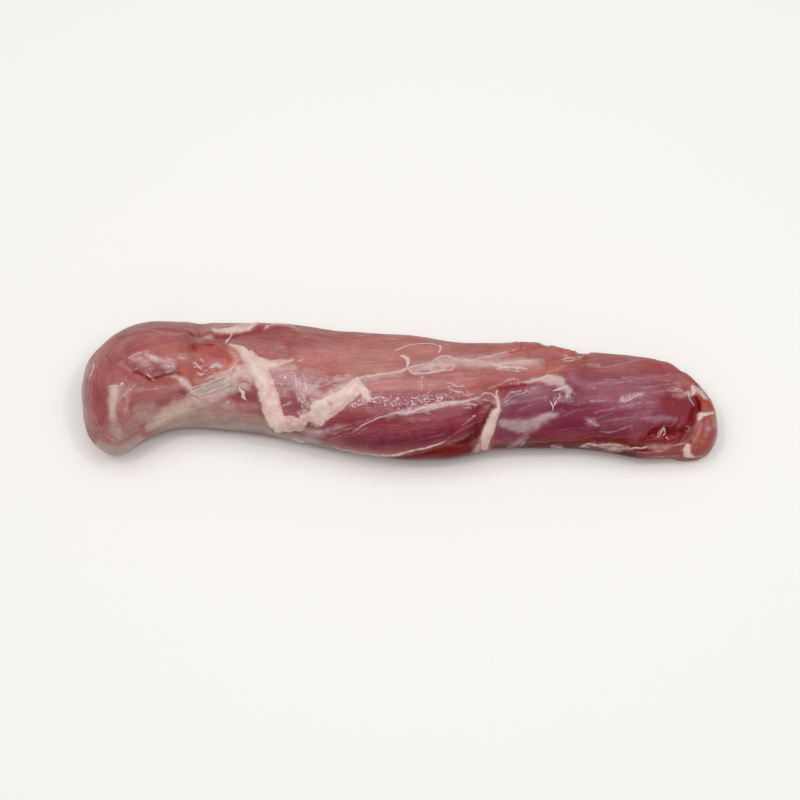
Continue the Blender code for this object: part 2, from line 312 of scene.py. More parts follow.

# Thin wet membrane, which whitens the muscle under it without hiding it
# A few strokes, marked below, paint a sheen or glints instead
film = {
    "raiseMm": 0.10,
    "edgeMm": 3.4,
    "raggedTimes": 3,
    "lossInClefts": 0.9,
}
film["strokes"] = {
    "pale band": (0.35, (115, 389, 4.6), (115, 397, 5), (113.5, 406, 4.6), (113, 416, 3.4)),
    "foot of the pale band": (0.28, (113, 410, 5), (114, 424, 5), (117, 434, 5), (114, 441, 4)),
    "mauve wash of the head": (0.16, (104, 432, 6), (124, 428, 10), (142, 420, 9)),
    "over the lower head": (0.18, (122, 406, 4), (126, 416, 5), (130, 424, 5)),
    "outer wash of the head": (0.08, (86, 372, 3), (84, 395, 3), (88, 420, 4), (99, 440, 4)),
    "cream of the waist": (0.35, (147, 428, 3), (156, 420, 6), (165, 413, 8), (176, 407, 8.5),
        (188, 402, 7), (198, 398, 4)),
    "grey patch": (0.4, (503, 422.5, 4), (514, 424.5, 6), (524, 427, 7), (533, 424, 6), (541, 419.4, 4),
        (549, 416, 3), (556, 414.6, 2)),
    "below the grey patch": (0.38, (509, 447, 1.8), (517, 443, 3.2), (523, 438.4, 3), (526, 435, 1.6)),
    "foot of the band": (0.7, (479.2, 441, 1.2), (478, 446.4, 2), (475.8, 452, 1.5)),
    "grey spot of the lavender": (0.35, (529, 390.4, 2), (533, 389, 2.8), (537, 386.6, 1.6)),
    "tail edge": (0.75, (584, 446, 0.8), (592, 443.8, 1.2), (601, 444.6, 1.4), (610, 447, 2.4),
        (619, 448.4, 2), (628, 448.5, 1)),
    "pale flap": (0.55, (527, 382, 0.3), (536, 380.2, 1.2), (547, 380, 4.8), (556, 380.5, 5.4),
        (561, 382, 4.6)),
    "second flap": (0.8, (560, 389, 2.2), (566, 388, 3.6), (569, 391.4, 2.8), (567, 396, 1.4)),
    "tendon patch": (0.65, (170, 371.5, 0.8), (178, 378.4, 1.4), (183, 381, 3.2), (187.5, 385.4, 3.4),
        (191, 391, 1.6)),
    # painted sheen: a faint pale veil where the tail reflects the light
    "veil of the tail": (0.1, (606, 392, 8), (630, 392, 10), (655, 396, 9)),
    "low veil of the tail": (0.08, (590, 425, 5), (610, 424, 6), (635, 420, 6)),
    "veil of the far side": (0.06, (300, 350, 8), (370, 350, 10), (450, 352, 7), (540, 355, 6)),
    "veil of the front": (0.05, (330, 436, 6), (380, 432, 8), (440, 428, 9)),
    "left of the bulge": (0.45, (131, 360, 2), (140, 360, 5), (147, 366, 5)),
    "bright patch of the bulge": (0.95, (146, 355, 1.5), (153, 357.5, 2.8), (157, 361, 2.2)),
    "right of the bulge": (0.8, (160, 361, 3.4), (167, 363, 4.4), (172.5, 367, 3.6), (168, 371, 2.6)),
    "lilac of the head": (0.2, (138, 412, 5), (148, 414, 7), (151, 406, 5)),
    "by the cleft": (0.3, (171, 378, 1.2), (177, 377.5, 1.5)),
    "under the lobe": (0.8, (192, 391.5, 1.4), (202, 388, 2.4), (213, 384, 3), (222, 380.5, 3),
        (231, 376, 3)),
    "lower string": (0.6, (196, 396, 2), (210, 392.5, 2.2), (224, 387, 2.2), (236, 382, 2)),
    "grey film": (0.85, (225, 382, 3.4), (234, 376, 4.4), (243, 370, 5.6), (249, 374.5, 6), (252, 381, 3)),
    "near the waist": (0.5, (188, 402, 4), (200, 403, 3.4), (214, 401, 2.4), (222, 396, 2)),
    "over the plum window": (0.15, (226, 407, 3), (245, 407, 3.4), (257, 406, 3)),
    "beside the spur": (0.5, (274, 371, 3), (284, 368, 4), (294, 367, 3.4)),
    "veil of the plum muscle": (0.28, (277, 380, 5), (290, 378, 7), (303, 380, 8), (311, 385, 6)),
    "right of the plum muscle": (0.6, (298, 392, 3), (302, 399, 4.4), (307, 407, 3.6), (303, 413, 3)),
    "left of the plum muscle": (0.12, (282, 392, 3), (287, 402, 3)),
    "upper skirt of the arm": (0.75, (314, 402, 3), (324, 397, 4), (336, 390, 4.4), (346, 384, 4),
        (354, 378, 3)),
    "above the arm": (0.6, (312, 386, 3), (322, 382, 4), (336, 380, 3.6), (349, 377, 3)),
    "beside the web": (0.35, (312, 378, 3), (321, 381, 5), (330, 381, 4)),
    "above the web": (0.35, (305, 371, 3), (315, 374, 4), (326, 378, 3)),
    "under the arm": (0.4, (308, 436, 3), (320, 433.6, 4), (332, 430.4, 3.6), (344, 425.6, 2)),
    "beside the finger": (0.5, (364, 381, 3), (380, 377, 3.4), (396, 374, 3)),
    "tendon bulb": (0.85, (412, 370, 2.4), (424, 369, 4.6), (438, 366.5, 5), (452, 365, 3.4)),
    "tendon fan": (0.65, (436, 361, 2.4), (448, 361, 4), (462, 363, 3.4), (482, 363.6, 3.4),
        (505, 364, 3.8), (523, 363, 3.4), (535, 363, 2)),
    "along the seam": (0.4, (388, 416, 1.6), (402, 412.4, 2.6), (420, 408.4, 3.2), (438, 405.4, 2.4),
        (460, 401.6, 1.8), (478, 398, 1.4)),
    "over the bulb": (0.4, (440, 359.4, 1.6), (452, 360.4, 2), (468, 361.4, 1.8)),
    "far branch of the fan": (0.45, (478, 358, 2), (492, 355, 2.4), (508, 352, 1.8)),
    # painted highlight: pale film where the tail glints
    "tail glints": (0.45, (620, 400, 2), (626, 397.5, 3.6), (634, 396.5, 4), (642, 394, 3)),
    "left of the tail glints": (0.06, (602, 392, 5), (612, 396, 4)),
    "tail spots": (0.55, (586, 419, 1.2), (590, 420.5, 2.4), (597, 424.5, 1.8)),
    "web over the pocket": (0.3, (641, 419, 1.6), (650, 419, 2.4), (662, 418, 2.6), (674, 419, 2)),
    "far film of the tail": (0.18, (590, 385, 3), (610, 381, 3), (635, 380, 3), (662, 378, 3),
        (678, 378, 3), (687, 382, 2)),
    "lower edge bits": (0.8, (553, 447, 1), (560, 447.6, 1.2)),
    "near the cuff": (0.4, (671, 388.5, 2), (678, 386.5, 3), (683, 392, 2)),
    "up to the cuff": (0.7, (673, 396, 1.4), (682, 395.5, 1.6), (690, 393.5, 1.8)),
    "bottom of the tail": (0.55, (648, 447.5, 1.2), (656, 447, 2.2), (664, 447.4, 1.8), (670, 446, 1)),
    "far end of the cuff": (0.35, (714, 420, 1.6), (717, 430, 2), (715, 442, 1.6)),
    "peach edge of the lobe": (0.45, (229.6, 349.4, 1.6), (234.4, 354, 2.2), (238, 359.6, 2)),
    "far muscle": (0.2, (240, 345, 5), (280, 350, 8)),
}

# Fine pale lines, where the membranes fold, tear or end
# Some are painted highlights: those named for glints, and the drops, rings, loop and bluish
# streaks marked below, are pale marks where wet glints catch the light
lines = {
    "raiseMm": 0.22,
    "edgeMm": 0.6,
    "raggedTimes": 0.4,
    "slimMm": 0.10,
    "breakMm": 2.6,          # size of the stretches where a line fades and comes back
    "breakBase": 0.62,
    "breakSwing": 0.7,
    "faintest": 0.12,
}
lines["strokes"] = {
    "far streak of the head": (0.2, (137, 329, 0.8), (152, 330.5, 1), (165, 333, 1.1), (173, 334.5, 0.9)),
    "swirl streak": (0.2, (163, 331.5, 0.7), (177, 335, 0.9), (186, 333, 0.8), (194, 338, 0.7),
        (196.5, 345, 0.5)),
    "ridge of the bulge": (0.5, (128, 357.5, 1.1), (138, 353.5, 1), (146, 351.8, 0.8), (152, 351, 0.5)),
    "edge of the bulge": (0.8, (145, 354.5, 0.9), (151, 356, 1.1), (156, 359.5, 0.9)),
    "lower edge of the bulge": (0.55, (135, 369.5, 0.8), (143, 365.5, 0.8), (150, 363, 0.7)),
    "by the cleft": (0.45, (170, 376.8, 0.6), (174, 377.4, 0.8), (178, 376.8, 0.6)),
    # painted highlight: wet glint in the cleft
    "drops by the cleft": (1.0, (147.5, 374.6, 0.7), (150, 376.6, 1), (152.5, 377.6, 0.8)),
    "pink line": (0.42, (135, 383.8, 0.8), (129, 389.5, 0.9), (123, 394.8, 1), (127.5, 397.5, 0.9),
        (127, 404, 0.8), (125, 414, 0.5)),
    "second pink line": (0.35, (145.5, 380.5, 0.7), (140.5, 387.5, 0.6)),
    "line in the head": (0.15, (135, 392, 0.6), (145, 386, 0.8), (152, 382, 0.6)),
    "head end": (0.95, (94.5, 364, 0.9), (93, 369, 0.9), (90.5, 376, 0.7), (88.5, 381, 0.5)),
    "top of the pale band": (0.75, (109, 386.3, 0.7), (113, 385.2, 0.9), (119.5, 385.3, 0.9)),
    "left of the pale band": (0.3, (109.5, 388, 0.8), (108.5, 396, 0.9), (107, 404, 0.9), (109, 415, 0.7)),
    "right of the pale band": (0.3, (120.5, 387, 0.8), (121, 395, 0.8), (120, 404, 0.8), (118, 413, 0.6)),
    "outer end streak": (0.2, (90, 352, 0.7), (85, 368, 0.9), (84, 388, 0.9), (86, 408, 0.9),
        (92, 428, 0.8), (100, 442, 0.6)),
    "inner end streak": (0.25, (88.5, 384, 0.6), (88, 400, 0.8), (91.5, 418, 0.8), (98, 432, 0.8),
        (108, 442, 0.6)),
    "low end streak": (0.35, (94, 414, 0.6), (100, 429, 0.7), (110, 438.5, 0.6), (120, 443, 0.5)),
    "upper strand of the v": (1.0, (189.5, 392, 0.9), (199, 388.6, 1.2), (207.5, 384.6, 1.2),
        (217, 380.4, 1.3), (225, 376.6, 1.2), (232, 371.5, 0.9)),
    "scalloped edge of the lobe": (0.85, (236.5, 361, 0.7), (234.5, 367, 1), (229.5, 370.6, 0.9),
        (225, 373.4, 1), (223, 377, 0.7)),
    "lower edge of the lobe": (0.75, (215, 379.4, 0.8), (209, 382.4, 0.9), (202, 384.6, 0.9),
        (195, 387, 0.9), (190, 388.6, 0.8)),
    "fold at the lobe": (0.6, (226.5, 374, 0.8), (227.5, 379, 0.9), (224, 383, 0.9), (214, 386, 0.8),
        (204, 389, 0.7)),
    "inner fold at the lobe": (0.5, (217, 380, 0.6), (222, 380.5, 0.7), (216, 384, 0.7), (206, 386.6, 0.6)),
    "fourth strand of the v": (0.5, (205, 397.6, 0.7), (216, 393.6, 0.8), (229, 388.5, 0.8),
        (236, 386, 0.6)),
    "second strand of the v": (0.8, (192, 394, 1), (201, 394.3, 0.9), (212, 391, 1.2), (226, 385.5, 1.2),
        (236, 381.3, 1)),
    "strand over the plum": (0.5, (200, 399, 0.7), (214, 395.5, 0.8), (228, 390, 0.7)),
    "v point": (0.9, (188, 394, 1.4), (193, 398, 1.2), (199, 402, 0.8)),
    "curve in the film": (0.7, (239.5, 386.5, 0.7), (244, 384, 0.9), (250, 384.6, 0.8)),
    "thread in the film": (0.7, (231.5, 371, 0.6), (234.5, 377, 0.8), (237, 383, 0.9), (239.6, 388.5, 0.8)),
    "film streak": (0.5, (233, 377, 0.7), (240, 372, 0.8), (247, 371, 0.6)),
    "streak over the muscle": (0.9, (298.5, 361.4, 0.8), (303.5, 359, 0.6)),
    "web one": (0.55, (276, 377.5, 0.6), (284, 374.5, 0.8), (291, 371.5, 0.8), (299, 372, 0.6)),
    "web two": (0.6, (294, 373, 0.7), (296, 380, 0.9), (296, 388, 0.8), (299, 395, 0.6)),
    "web three": (0.5, (301, 373.5, 0.6), (306, 380, 0.8), (305, 388, 0.8), (308, 394, 0.6)),
    "web four": (0.45, (311, 376, 0.6), (316, 382, 0.8), (317, 389, 0.6)),
    "web five": (0.6, (298.5, 392, 0.7), (303, 395, 0.9), (304, 401, 0.8), (300.5, 406, 0.9),
        (305, 411, 0.8)),
    "web six": (0.5, (309, 393, 0.7), (311, 399, 0.9), (307, 404, 0.8), (311, 410, 0.9)),
    "web seven": (0.35, (280, 385, 0.6), (287, 384, 0.7), (293, 387, 0.6)),
    "above the arm": (0.55, (322, 386.5, 0.7), (334, 381.5, 0.9), (345, 378.5, 0.8)),
    "second above the arm": (0.4, (319, 391.5, 0.7), (330, 387, 0.8), (340, 382.5, 0.6)),
    "far pale streak": (0.4, (344, 338.6, 0.7), (358, 336.5, 0.9), (373, 335.3, 0.8)),
    "small far streak": (0.5, (385, 339, 0.6), (393, 339.7, 0.8), (401, 340.7, 0.6)),
    "faint far dot": (0.7, (445.5, 344.2, 0.6), (448.5, 344.4, 0.6)),
    "small curl": (0.35, (385, 356.3, 0.7), (390, 357.5, 0.8), (392, 359.5, 0.5)),
    "white edge of the arm": (1.0, (311.5, 424.4, 0.8), (316, 426.2, 1.1), (320.5, 426.2, 0.9),
        (323.5, 424, 0.7)),
    "tip": (1.0, (293.5, 439.8, 0.9), (299, 443.2, 1.2), (304.5, 445, 1.5)),
    "tendon": (0.8, (358, 378.5, 1.2), (366, 376.8, 1.6), (380, 375, 1.7), (390, 373.3, 1.5),
        (400, 371.3, 1.6), (408, 368.8, 1.7)),
    "lower outline of the bulb": (0.7, (409.5, 370, 1), (413.5, 373, 1.2), (424, 373.5, 1.1),
        (438, 371.7, 1.1), (451.5, 370, 0.9), (455, 365.5, 0.8)),
    "upper outline of the bulb": (0.75, (409, 368.5, 0.9), (417, 365.6, 1), (428, 363.7, 1.1),
        (433, 366, 1), (431.5, 369, 0.7)),
    "first fold of the bulb": (0.5, (414, 371.5, 0.5), (421, 368.8, 0.8), (428, 367.5, 0.7)),
    "upper edge of the fan": (0.75, (432, 362.5, 0.8), (437.5, 358.3, 1), (443, 356.4, 1.2),
        (448, 356.8, 1.1), (454, 359.5, 1), (461, 360.7, 1.1), (471.5, 361, 1)),
    "far branch": (0.65, (471.5, 361, 0.9), (482, 358.2, 0.9), (495, 354.6, 1), (508, 351.8, 0.9)),
    "second far branch": (0.4, (474, 362, 0.6), (487, 358, 0.8), (500, 356, 0.9), (512, 353.6, 0.7)),
    "middle of the fan": (0.5, (455, 361.6, 0.8), (470, 363.2, 0.8), (483, 363.3, 0.9), (491, 363.4, 0.8)),
    "bright tendon": (0.85, (488, 363.4, 0.7), (493, 364.8, 1.2), (498, 367.2, 1.4), (503, 368.2, 1.2)),
    "middle of the bright tendon": (0.9, (496, 369.6, 0.7), (505, 368.6, 1.4), (514, 367.4, 1.1),
        (521, 367.8, 1), (527, 369.4, 0.7)),
    "foot of the bright tendon": (0.7, (500, 371, 0.6), (510, 370.8, 0.9), (520, 371.3, 0.6)),
    "root of the bright tendon": (0.5, (478, 366, 0.6), (488, 366.8, 0.8), (496, 368.6, 0.8)),
    "right branch": (0.7, (497, 365.2, 0.8), (508, 363.6, 0.9), (520, 361.8, 0.9), (532, 360.4, 0.9),
        (543, 359.8, 0.7)),
    "inside the right branch": (0.4, (504, 366.2, 0.6), (514, 365.2, 0.7), (526, 364.8, 0.6)),
    "end of the fan": (0.3, (543.8, 360.5, 0.6), (543.6, 365, 0.7), (541.2, 367.8, 0.5)),
    "line under the bulb": (0.3, (432, 376, 0.6), (450, 374.6, 0.7), (470, 373, 0.6)),
    "red fibre": (0.25, (458, 379, 0.6), (476, 378, 0.8), (492, 376, 0.6)),
    "fingerprint one": (0.45, (418, 381, 0.6), (417.8, 387, 0.8), (418.5, 392, 0.5)),
    "fingerprint two": (0.62, (421.5, 380, 0.7), (421.3, 386, 1), (422, 391.5, 0.7)),
    "fingerprint three": (0.45, (425.5, 381, 0.6), (426, 386.5, 0.8), (425, 391, 0.6)),
    "fingerprint four": (0.45, (429.5, 382.5, 0.6), (430.5, 387.5, 0.8), (429, 391, 0.6)),
    "fingerprint five": (0.45, (434, 384, 0.6), (434, 389, 0.7)),
    "above the fingerprint": (0.8, (421, 377.5, 0.8), (424, 376.2, 1), (426, 377, 0.7)),
    "up from the seam": (0.5, (416, 401, 0.6), (424, 396.5, 0.8), (432, 390.5, 0.7)),
    "squiggle": (0.75, (446.5, 383, 0.8), (452, 384, 0.9), (457, 386.6, 0.8), (463.5, 385.4, 0.6)),
    "lower squiggle": (0.8, (449, 389.3, 0.6), (453.5, 391, 0.8), (461.5, 391.6, 0.9)),
    "faint squiggle": (0.4, (464, 393, 0.6), (470, 394.5, 0.9), (475, 393.6, 0.6)),
    # painted highlights: glint lines on the ripples
    "glint line": (0.9, (368, 400.5, 0.7), (379.5, 397.3, 0.9), (384, 397.8, 0.9), (388.5, 399, 0.8)),
    "left of the glint line": (0.6, (354, 408, 0.8), (361, 404.5, 1), (367, 403.8, 0.9)),
    "pale ridge by the glints": (0.4, (381, 391, 0.7), (389, 388.5, 0.9), (399, 387.5, 0.7)),
    # painted highlights: rings of glints
    "ring one": (0.7, (424.5, 399, 0.7), (428, 398.5, 0.7), (429, 401.5, 0.7), (425.5, 402, 0.7),
        (424.5, 399, 0.7)),
    "ring two": (0.8, (437, 397, 0.7), (440.8, 397.3, 0.7), (440.5, 401, 0.7), (437, 400.7, 0.7),
        (437, 397, 0.7)),
    "ring three": (0.4, (451, 397.6, 0.8), (454, 399.5, 0.8)),
    "fuzz of the seam": (0.3, (335, 434, 0.7), (350, 427.5, 0.8), (368, 420, 0.9), (384, 412.6, 0.8)),
    "low fuzz of the seam": (0.25, (330, 439, 0.7), (346, 434, 0.8), (362, 427, 0.7)),
    "seam": (0.75, (352, 430, 0.5), (366, 424, 0.7), (376, 418.6, 0.9), (390, 414.3, 1.1), (403, 413, 1.3),
        (413, 412, 1.6), (420, 409, 1.8), (433, 405.5, 1.9), (447, 403.5, 2), (460, 401.7, 1.6),
        (473, 399, 1.2), (481, 396.5, 0.9), (485, 393, 0.8), (491, 392.8, 0.7)),
    "second strand of the seam": (0.55, (402, 413.8, 0.6), (412, 412.6, 0.8), (422, 413, 0.8),
        (430, 409.6, 0.9), (438, 407.6, 0.9), (447, 406, 0.7)),
    "front of the seam": (0.25, (345, 437.5, 0.6), (357, 433, 0.7), (368, 428, 0.7)),
    "lines of the seam": (0.28, (318, 432.5, 0.6), (333, 429.5, 0.8), (349, 424.5, 0.7), (362, 420.5, 0.6)),
    "wet dots under the seam": (0.6, (424.5, 413.7, 0.6), (431, 413.6, 0.7)),
    "right strand of the seam": (0.6, (478, 397.6, 0.6), (486, 400, 0.7), (494, 403, 0.7)),
    "glints right of the seam": (0.85, (464.5, 404.4, 0.6), (471, 404.6, 1), (477, 405.4, 0.8)),
    "streak before the band": (0.6, (463, 424.5, 0.6), (468, 421, 0.9), (471.5, 419.2, 0.7)),
    "dot before the band": (1.0, (472.8, 417.3, 0.9), (474.3, 416.6, 0.9)),
    "low streak before the band": (0.28, (449, 437, 0.6), (459, 430, 0.7), (470, 425.5, 0.7),
        (482, 421, 0.6)),
    "second low streak": (0.28, (449, 443.5, 0.6), (461, 438, 0.7), (473, 431.5, 0.7)),
    "long membrane": (0.8, (332, 446.6, 0.8), (347, 450.4, 1.2), (360, 453.4, 1.4), (375, 455, 1.6),
        (386, 455.6, 1.7), (398, 454.4, 1.7), (410, 451, 1.5), (424, 448, 1.5), (436, 445.6, 1.4),
        (443, 443, 1), (447, 440.6, 0.6)),
    "root of the band": (0.66, (486, 393.4, 0.6), (491, 393, 0.9), (494.5, 395.6, 1), (497, 399, 0.9)),
    "second root of the band": (0.3, (480, 397, 0.5), (488, 398, 0.7), (496, 403, 0.7)),
    "node of the band": (1.0, (496, 393.5, 1), (497.8, 390.5, 1.2)),
    "curl left of the flap": (0.6, (489.5, 388.4, 0.8), (498, 385.4, 0.9), (507, 380.6, 1),
        (515, 378.4, 1.1), (519.5, 380, 0.7)),
    "edge of the flap": (0.9, (522, 381.4, 0.8), (530, 382.2, 0.9), (537, 379.5, 0.9), (547, 375.9, 0.9),
        (553, 375.2, 0.8)),
    "corner of the flap": (0.7, (561, 376.3, 0.8), (563.2, 381, 0.9), (564.2, 386, 0.7)),
    # painted highlights: bluish-white glint streaks beside the band
    "bluish streak one": (0.5, (502, 400.4, 0.8), (508, 396.6, 1), (514.5, 392.8, 0.9), (522, 390, 0.8)),
    "bluish streak two": (0.6, (503, 403.3, 0.8), (511, 398.7, 1), (519, 395.4, 0.9), (528, 391, 0.8)),
    "bluish streak three": (0.3, (503, 406, 0.6), (513, 402, 0.7), (524, 396.6, 0.7), (534, 392.6, 0.6)),
    "bluish streak four": (0.4, (503, 399, 0.6), (509, 394.6, 0.7), (515, 391.4, 0.6)),
    "glint of the lavender": (1.0, (510, 393.2, 0.8), (512.8, 391.8, 0.8)),
    "lavender streak": (0.25, (520, 409.5, 0.6), (535, 403, 0.8), (548, 399.5, 0.6)),
    "under the second flap": (0.8, (557, 399.6, 0.7), (559.7, 396.5, 0.9), (558.6, 394.5, 0.7)),
    "drip of the second flap": (0.8, (567.5, 393, 0.9), (566.8, 396.6, 0.7)),
    "fold of the grey patch": (0.5, (540, 415.8, 0.7), (548, 413.2, 0.9), (556, 414, 0.8)),
    "lower fold of the grey patch": (0.5, (515, 449, 0.7), (522, 444.3, 0.9), (527.5, 437.5, 0.7)),
    "dot on the tail": (0.7, (593.2, 386.6, 1), (594.5, 387.6, 1)),
    "second dot on the tail": (0.6, (574.4, 393.4, 0.9), (575.6, 394.2, 0.9)),
    "far tail streak": (0.75, (560, 360, 0.6), (567, 357.6, 0.9), (576, 358.4, 0.7), (583, 356.6, 0.6)),
    "near tail streak": (0.65, (563, 361.3, 0.6), (570, 361, 0.8), (577.5, 359.6, 0.9), (581, 358.8, 0.5)),
    "notch line": (0.55, (575.5, 356.2, 0.6), (583, 356.8, 0.7)),
    "orange fold": (0.35, (547, 371.5, 0.5), (557, 369.8, 0.7), (565, 366.2, 0.7)),
    "over the tail": (0.5, (583, 366, 0.6), (587, 364.4, 0.8), (600, 364.3, 0.8)),
    "far line of the tail": (0.4, (588, 366.6, 0.6), (605, 366.3, 0.7), (622, 363.7, 0.8), (643, 359, 0.6)),
    "second far line": (0.3, (622, 377.3, 0.7), (641, 378.2, 0.8), (661, 375.7, 0.7), (671, 374, 0.6)),
    "third far line": (0.2, (600, 384, 0.6), (618, 381.5, 0.7), (640, 383.5, 0.6)),
    "long tail line": (0.42, (594, 413, 0.7), (603, 410.5, 0.9), (614, 408.6, 0.8), (628, 406.3, 0.7),
        (641, 403.8, 0.7), (656, 402.3, 0.5)),
    "middle tail line": (0.28, (628, 408.5, 0.6), (640, 404.5, 0.8), (652, 405, 0.6)),
    "short tail line": (0.5, (608, 421.8, 0.8), (615, 420.1, 0.7), (623, 418.7, 0.9), (630, 417, 0.5)),
    "line after it": (0.25, (630, 417, 0.6), (640, 414, 0.7), (650, 412.5, 0.5)),
    "low tail line": (0.48, (600, 431.5, 0.6), (608, 432.3, 0.9), (617, 430.6, 0.6), (624, 429, 0.9),
        (628, 427, 0.7), (631.5, 425.5, 0.8)),
    "dash of the tail": (0.5, (631, 426, 0.7), (633.5, 429.5, 0.8)),
    "first glint of the tail": (0.75, (620.5, 399, 0.8), (622.5, 396.4, 1), (623.5, 401.5, 1),
        (629.5, 400, 0.9), (636, 396, 1), (643, 392.6, 0.8)),
    "spot of the tail": (0.6, (586.5, 420, 1), (591, 421, 1.2)),
    "second spot of the tail": (0.5, (594, 424.4, 0.9), (599, 425.6, 0.8)),
    "lower plum line": (0.16, (530, 441.4, 0.6), (545, 441.8, 0.7), (562, 440.4, 0.7), (585, 440, 0.6)),
    "white bits under the tail": (0.8, (551, 447, 0.7), (557, 447.8, 0.8), (563, 447.6, 0.6)),
    "by the crevice": (1.0, (688, 391, 0.6), (689, 397, 0.7), (691.5, 402, 0.8), (693.4, 405.5, 0.5)),
    "above the crevice": (0.8, (684.5, 392.3, 0.7), (689, 393, 1), (694.5, 392.8, 0.9)),
    "film line near the cuff": (0.6, (672, 390.5, 0.6), (678, 388.3, 0.8), (682.4, 389.6, 0.7)),
    "vein ring": (0.35, (685.4, 426.4, 0.7), (688.8, 426, 0.8), (689, 430, 0.7), (686, 430.6, 0.7)),
    "cross fibre one": (0.16, (669.5, 415, 0.6), (667.5, 421, 0.8), (663.5, 426, 0.6)),
    "cross fibre two": (0.18, (677, 416, 0.6), (675, 422, 0.8), (671.5, 427, 0.6)),
    "cross fibre three": (0.15, (662, 417, 0.6), (660, 421, 0.7), (656, 425, 0.5)),
    "cross fibre five": (0.2, (688, 432, 0.6), (684, 437, 0.8), (681, 442, 0.6)),
    "cross fibre six": (0.18, (681, 432, 0.6), (677.5, 437, 0.8), (676, 443, 0.6)),
    "cross fibre four": (0.15, (684, 417, 0.6), (681, 423, 0.8), (677.5, 428, 0.6)),
    "web of the pocket": (0.15, (644, 436, 0.6), (652, 427, 0.7), (661, 419.6, 0.6)),
    # painted highlights: the glint loop in the pocket
    "left of the loop": (0.6, (658.8, 436.6, 0.7), (660.8, 431.6, 0.9), (663.8, 427.4, 1)),
    "right of the loop": (0.35, (665, 428.6, 0.7), (665.6, 434, 0.7), (662, 437.4, 0.7)),
    "edge of the tail": (0.7, (580, 446.5, 0.7), (589, 443, 0.9), (598, 444.5, 0.9), (611, 444, 0.9),
        (623, 446.5, 0.8)),
    "wavy tail edge": (0.9, (627, 446.8, 0.8), (631, 448.6, 1.1), (635, 447.2, 0.9), (641, 448, 0.9),
        (647, 446.4, 0.7)),
    "foot of the tail edge": (0.15, (581, 449, 0.7), (592, 450.5, 0.9), (606, 450.8, 0.9),
        (620, 451.5, 0.8)),
    "glint in the pocket": (0.6, (667.2, 437.6, 0.9), (668.4, 439.4, 0.8)),
    "under the pocket": (0.65, (673.5, 445.8, 0.7), (680, 444.6, 0.8), (685, 443.4, 0.6)),
    "bottom fibre": (0.5, (637, 452.4, 0.6), (650, 452, 0.8), (664, 450.3, 0.7)),
    "lowest fibre": (0.45, (650, 456.3, 0.6), (666, 456.6, 0.9), (680, 455.2, 0.6)),
    "lower cuff wisp": (0.25, (703, 424, 0.6), (706, 428, 0.9), (711, 429, 0.8), (714, 425, 0.6)),
    "second cuff wisp": (0.18, (700, 434, 0.6), (699, 441, 0.8), (695, 449, 0.6)),
    "outline of the cuff": (0.2, (697.5, 424, 0.7), (693.5, 433, 0.8), (689.5, 441, 0.8), (687, 446, 0.6)),
    "right rim of the cuff": (0.3, (713, 412, 0.9), (716.2, 422, 1), (717, 433, 1), (714.5, 444, 0.8)),
    "left of the bulge's film": (0.35, (123, 354.7, 0.6), (131.7, 359.7, 0.8), (138.3, 366.3, 0.6)),
    "edge below the cleft": (0.25, (130, 373, 0.6), (132.5, 381, 0.7), (131.7, 389.7, 0.5)),
    "mauve line of the end": (0.25, (100, 368, 0.6), (98.3, 384.7, 0.8), (100, 396.3, 0.6)),
    "second line of the end": (0.28, (95, 374.7, 0.6), (91.7, 388, 0.7), (90.8, 404.7, 0.8),
        (95, 421.3, 0.6)),
    "low curve of the head": (0.3, (108.3, 424.7, 0.6), (113.3, 434.7, 0.8), (125, 441.3, 0.6)),
    "inner low curve": (0.28, (115, 404.7, 0.5), (115, 418, 0.7), (120, 431.3, 0.8), (130, 438, 0.6)),
    "small net one": (0.35, (125, 416, 0.5), (133, 421, 0.7), (136.7, 418, 0.5)),
    "small net two": (0.35, (126.7, 424.7, 0.5), (133.3, 418, 0.7), (135, 413, 0.5)),
    "small net three": (0.3, (122, 409, 0.5), (129, 412, 0.6), (134, 409, 0.5)),
    "grey fold of the head": (0.3, (145, 411, 0.6), (148.3, 421.3, 0.7), (147, 428, 0.5)),
    "hair by the pink line": (0.3, (127, 377, 0.5), (123, 383, 0.6), (119, 391, 0.5)),
    "hair under the cleft": (0.3, (139, 378, 0.5), (137, 384, 0.6), (133, 390, 0.4)),
    "waist fibre one": (0.35, (152, 427, 0.6), (166, 419, 0.8), (182, 413, 0.8), (196, 408, 0.6)),
    "waist fibre two": (0.3, (160, 430, 0.6), (176, 425, 0.8), (196, 420, 0.8), (214, 417, 0.6)),
    "sheet fibre one": (0.25, (200, 413, 0.6), (220, 412, 0.8), (242, 413, 0.7), (258, 416, 0.5)),
    "sheet fibre two": (0.2, (196, 427, 0.6), (216, 427, 0.8), (240, 429, 0.7), (262, 433, 0.5)),
    "far tail hair one": (0.3, (590, 384.8, 0.6), (600.4, 382.2, 0.7), (612.5, 379.6, 0.6)),
    "far tail hair two": (0.3, (593.5, 390, 0.6), (607.3, 385.7, 0.8), (624.6, 382.2, 0.8),
        (642, 379.6, 0.6)),
    "far tail hair three": (0.35, (642, 388.3, 0.6), (659.2, 385.7, 0.8), (676.5, 382.2, 0.8),
        (686.9, 383.9, 0.6)),
    "far tail hair four": (0.35, (650.6, 393.4, 0.6), (668, 390, 0.8), (683.4, 391.7, 0.6)),
    "middle tail hair": (0.3, (610.8, 407.3, 0.6), (624.6, 404.7, 0.7), (642, 403.8, 0.6)),
    "left tail hair": (0.3, (588, 420, 0.6), (600.4, 416.8, 0.7), (612, 413, 0.5)),
    "low tail hair": (0.15, (625, 421, 0.6), (641, 416, 0.8), (655, 413, 0.6)),
    "lowest tail hair": (0.12, (595, 436, 0.6), (615, 437, 0.7), (632, 435.5, 0.6)),
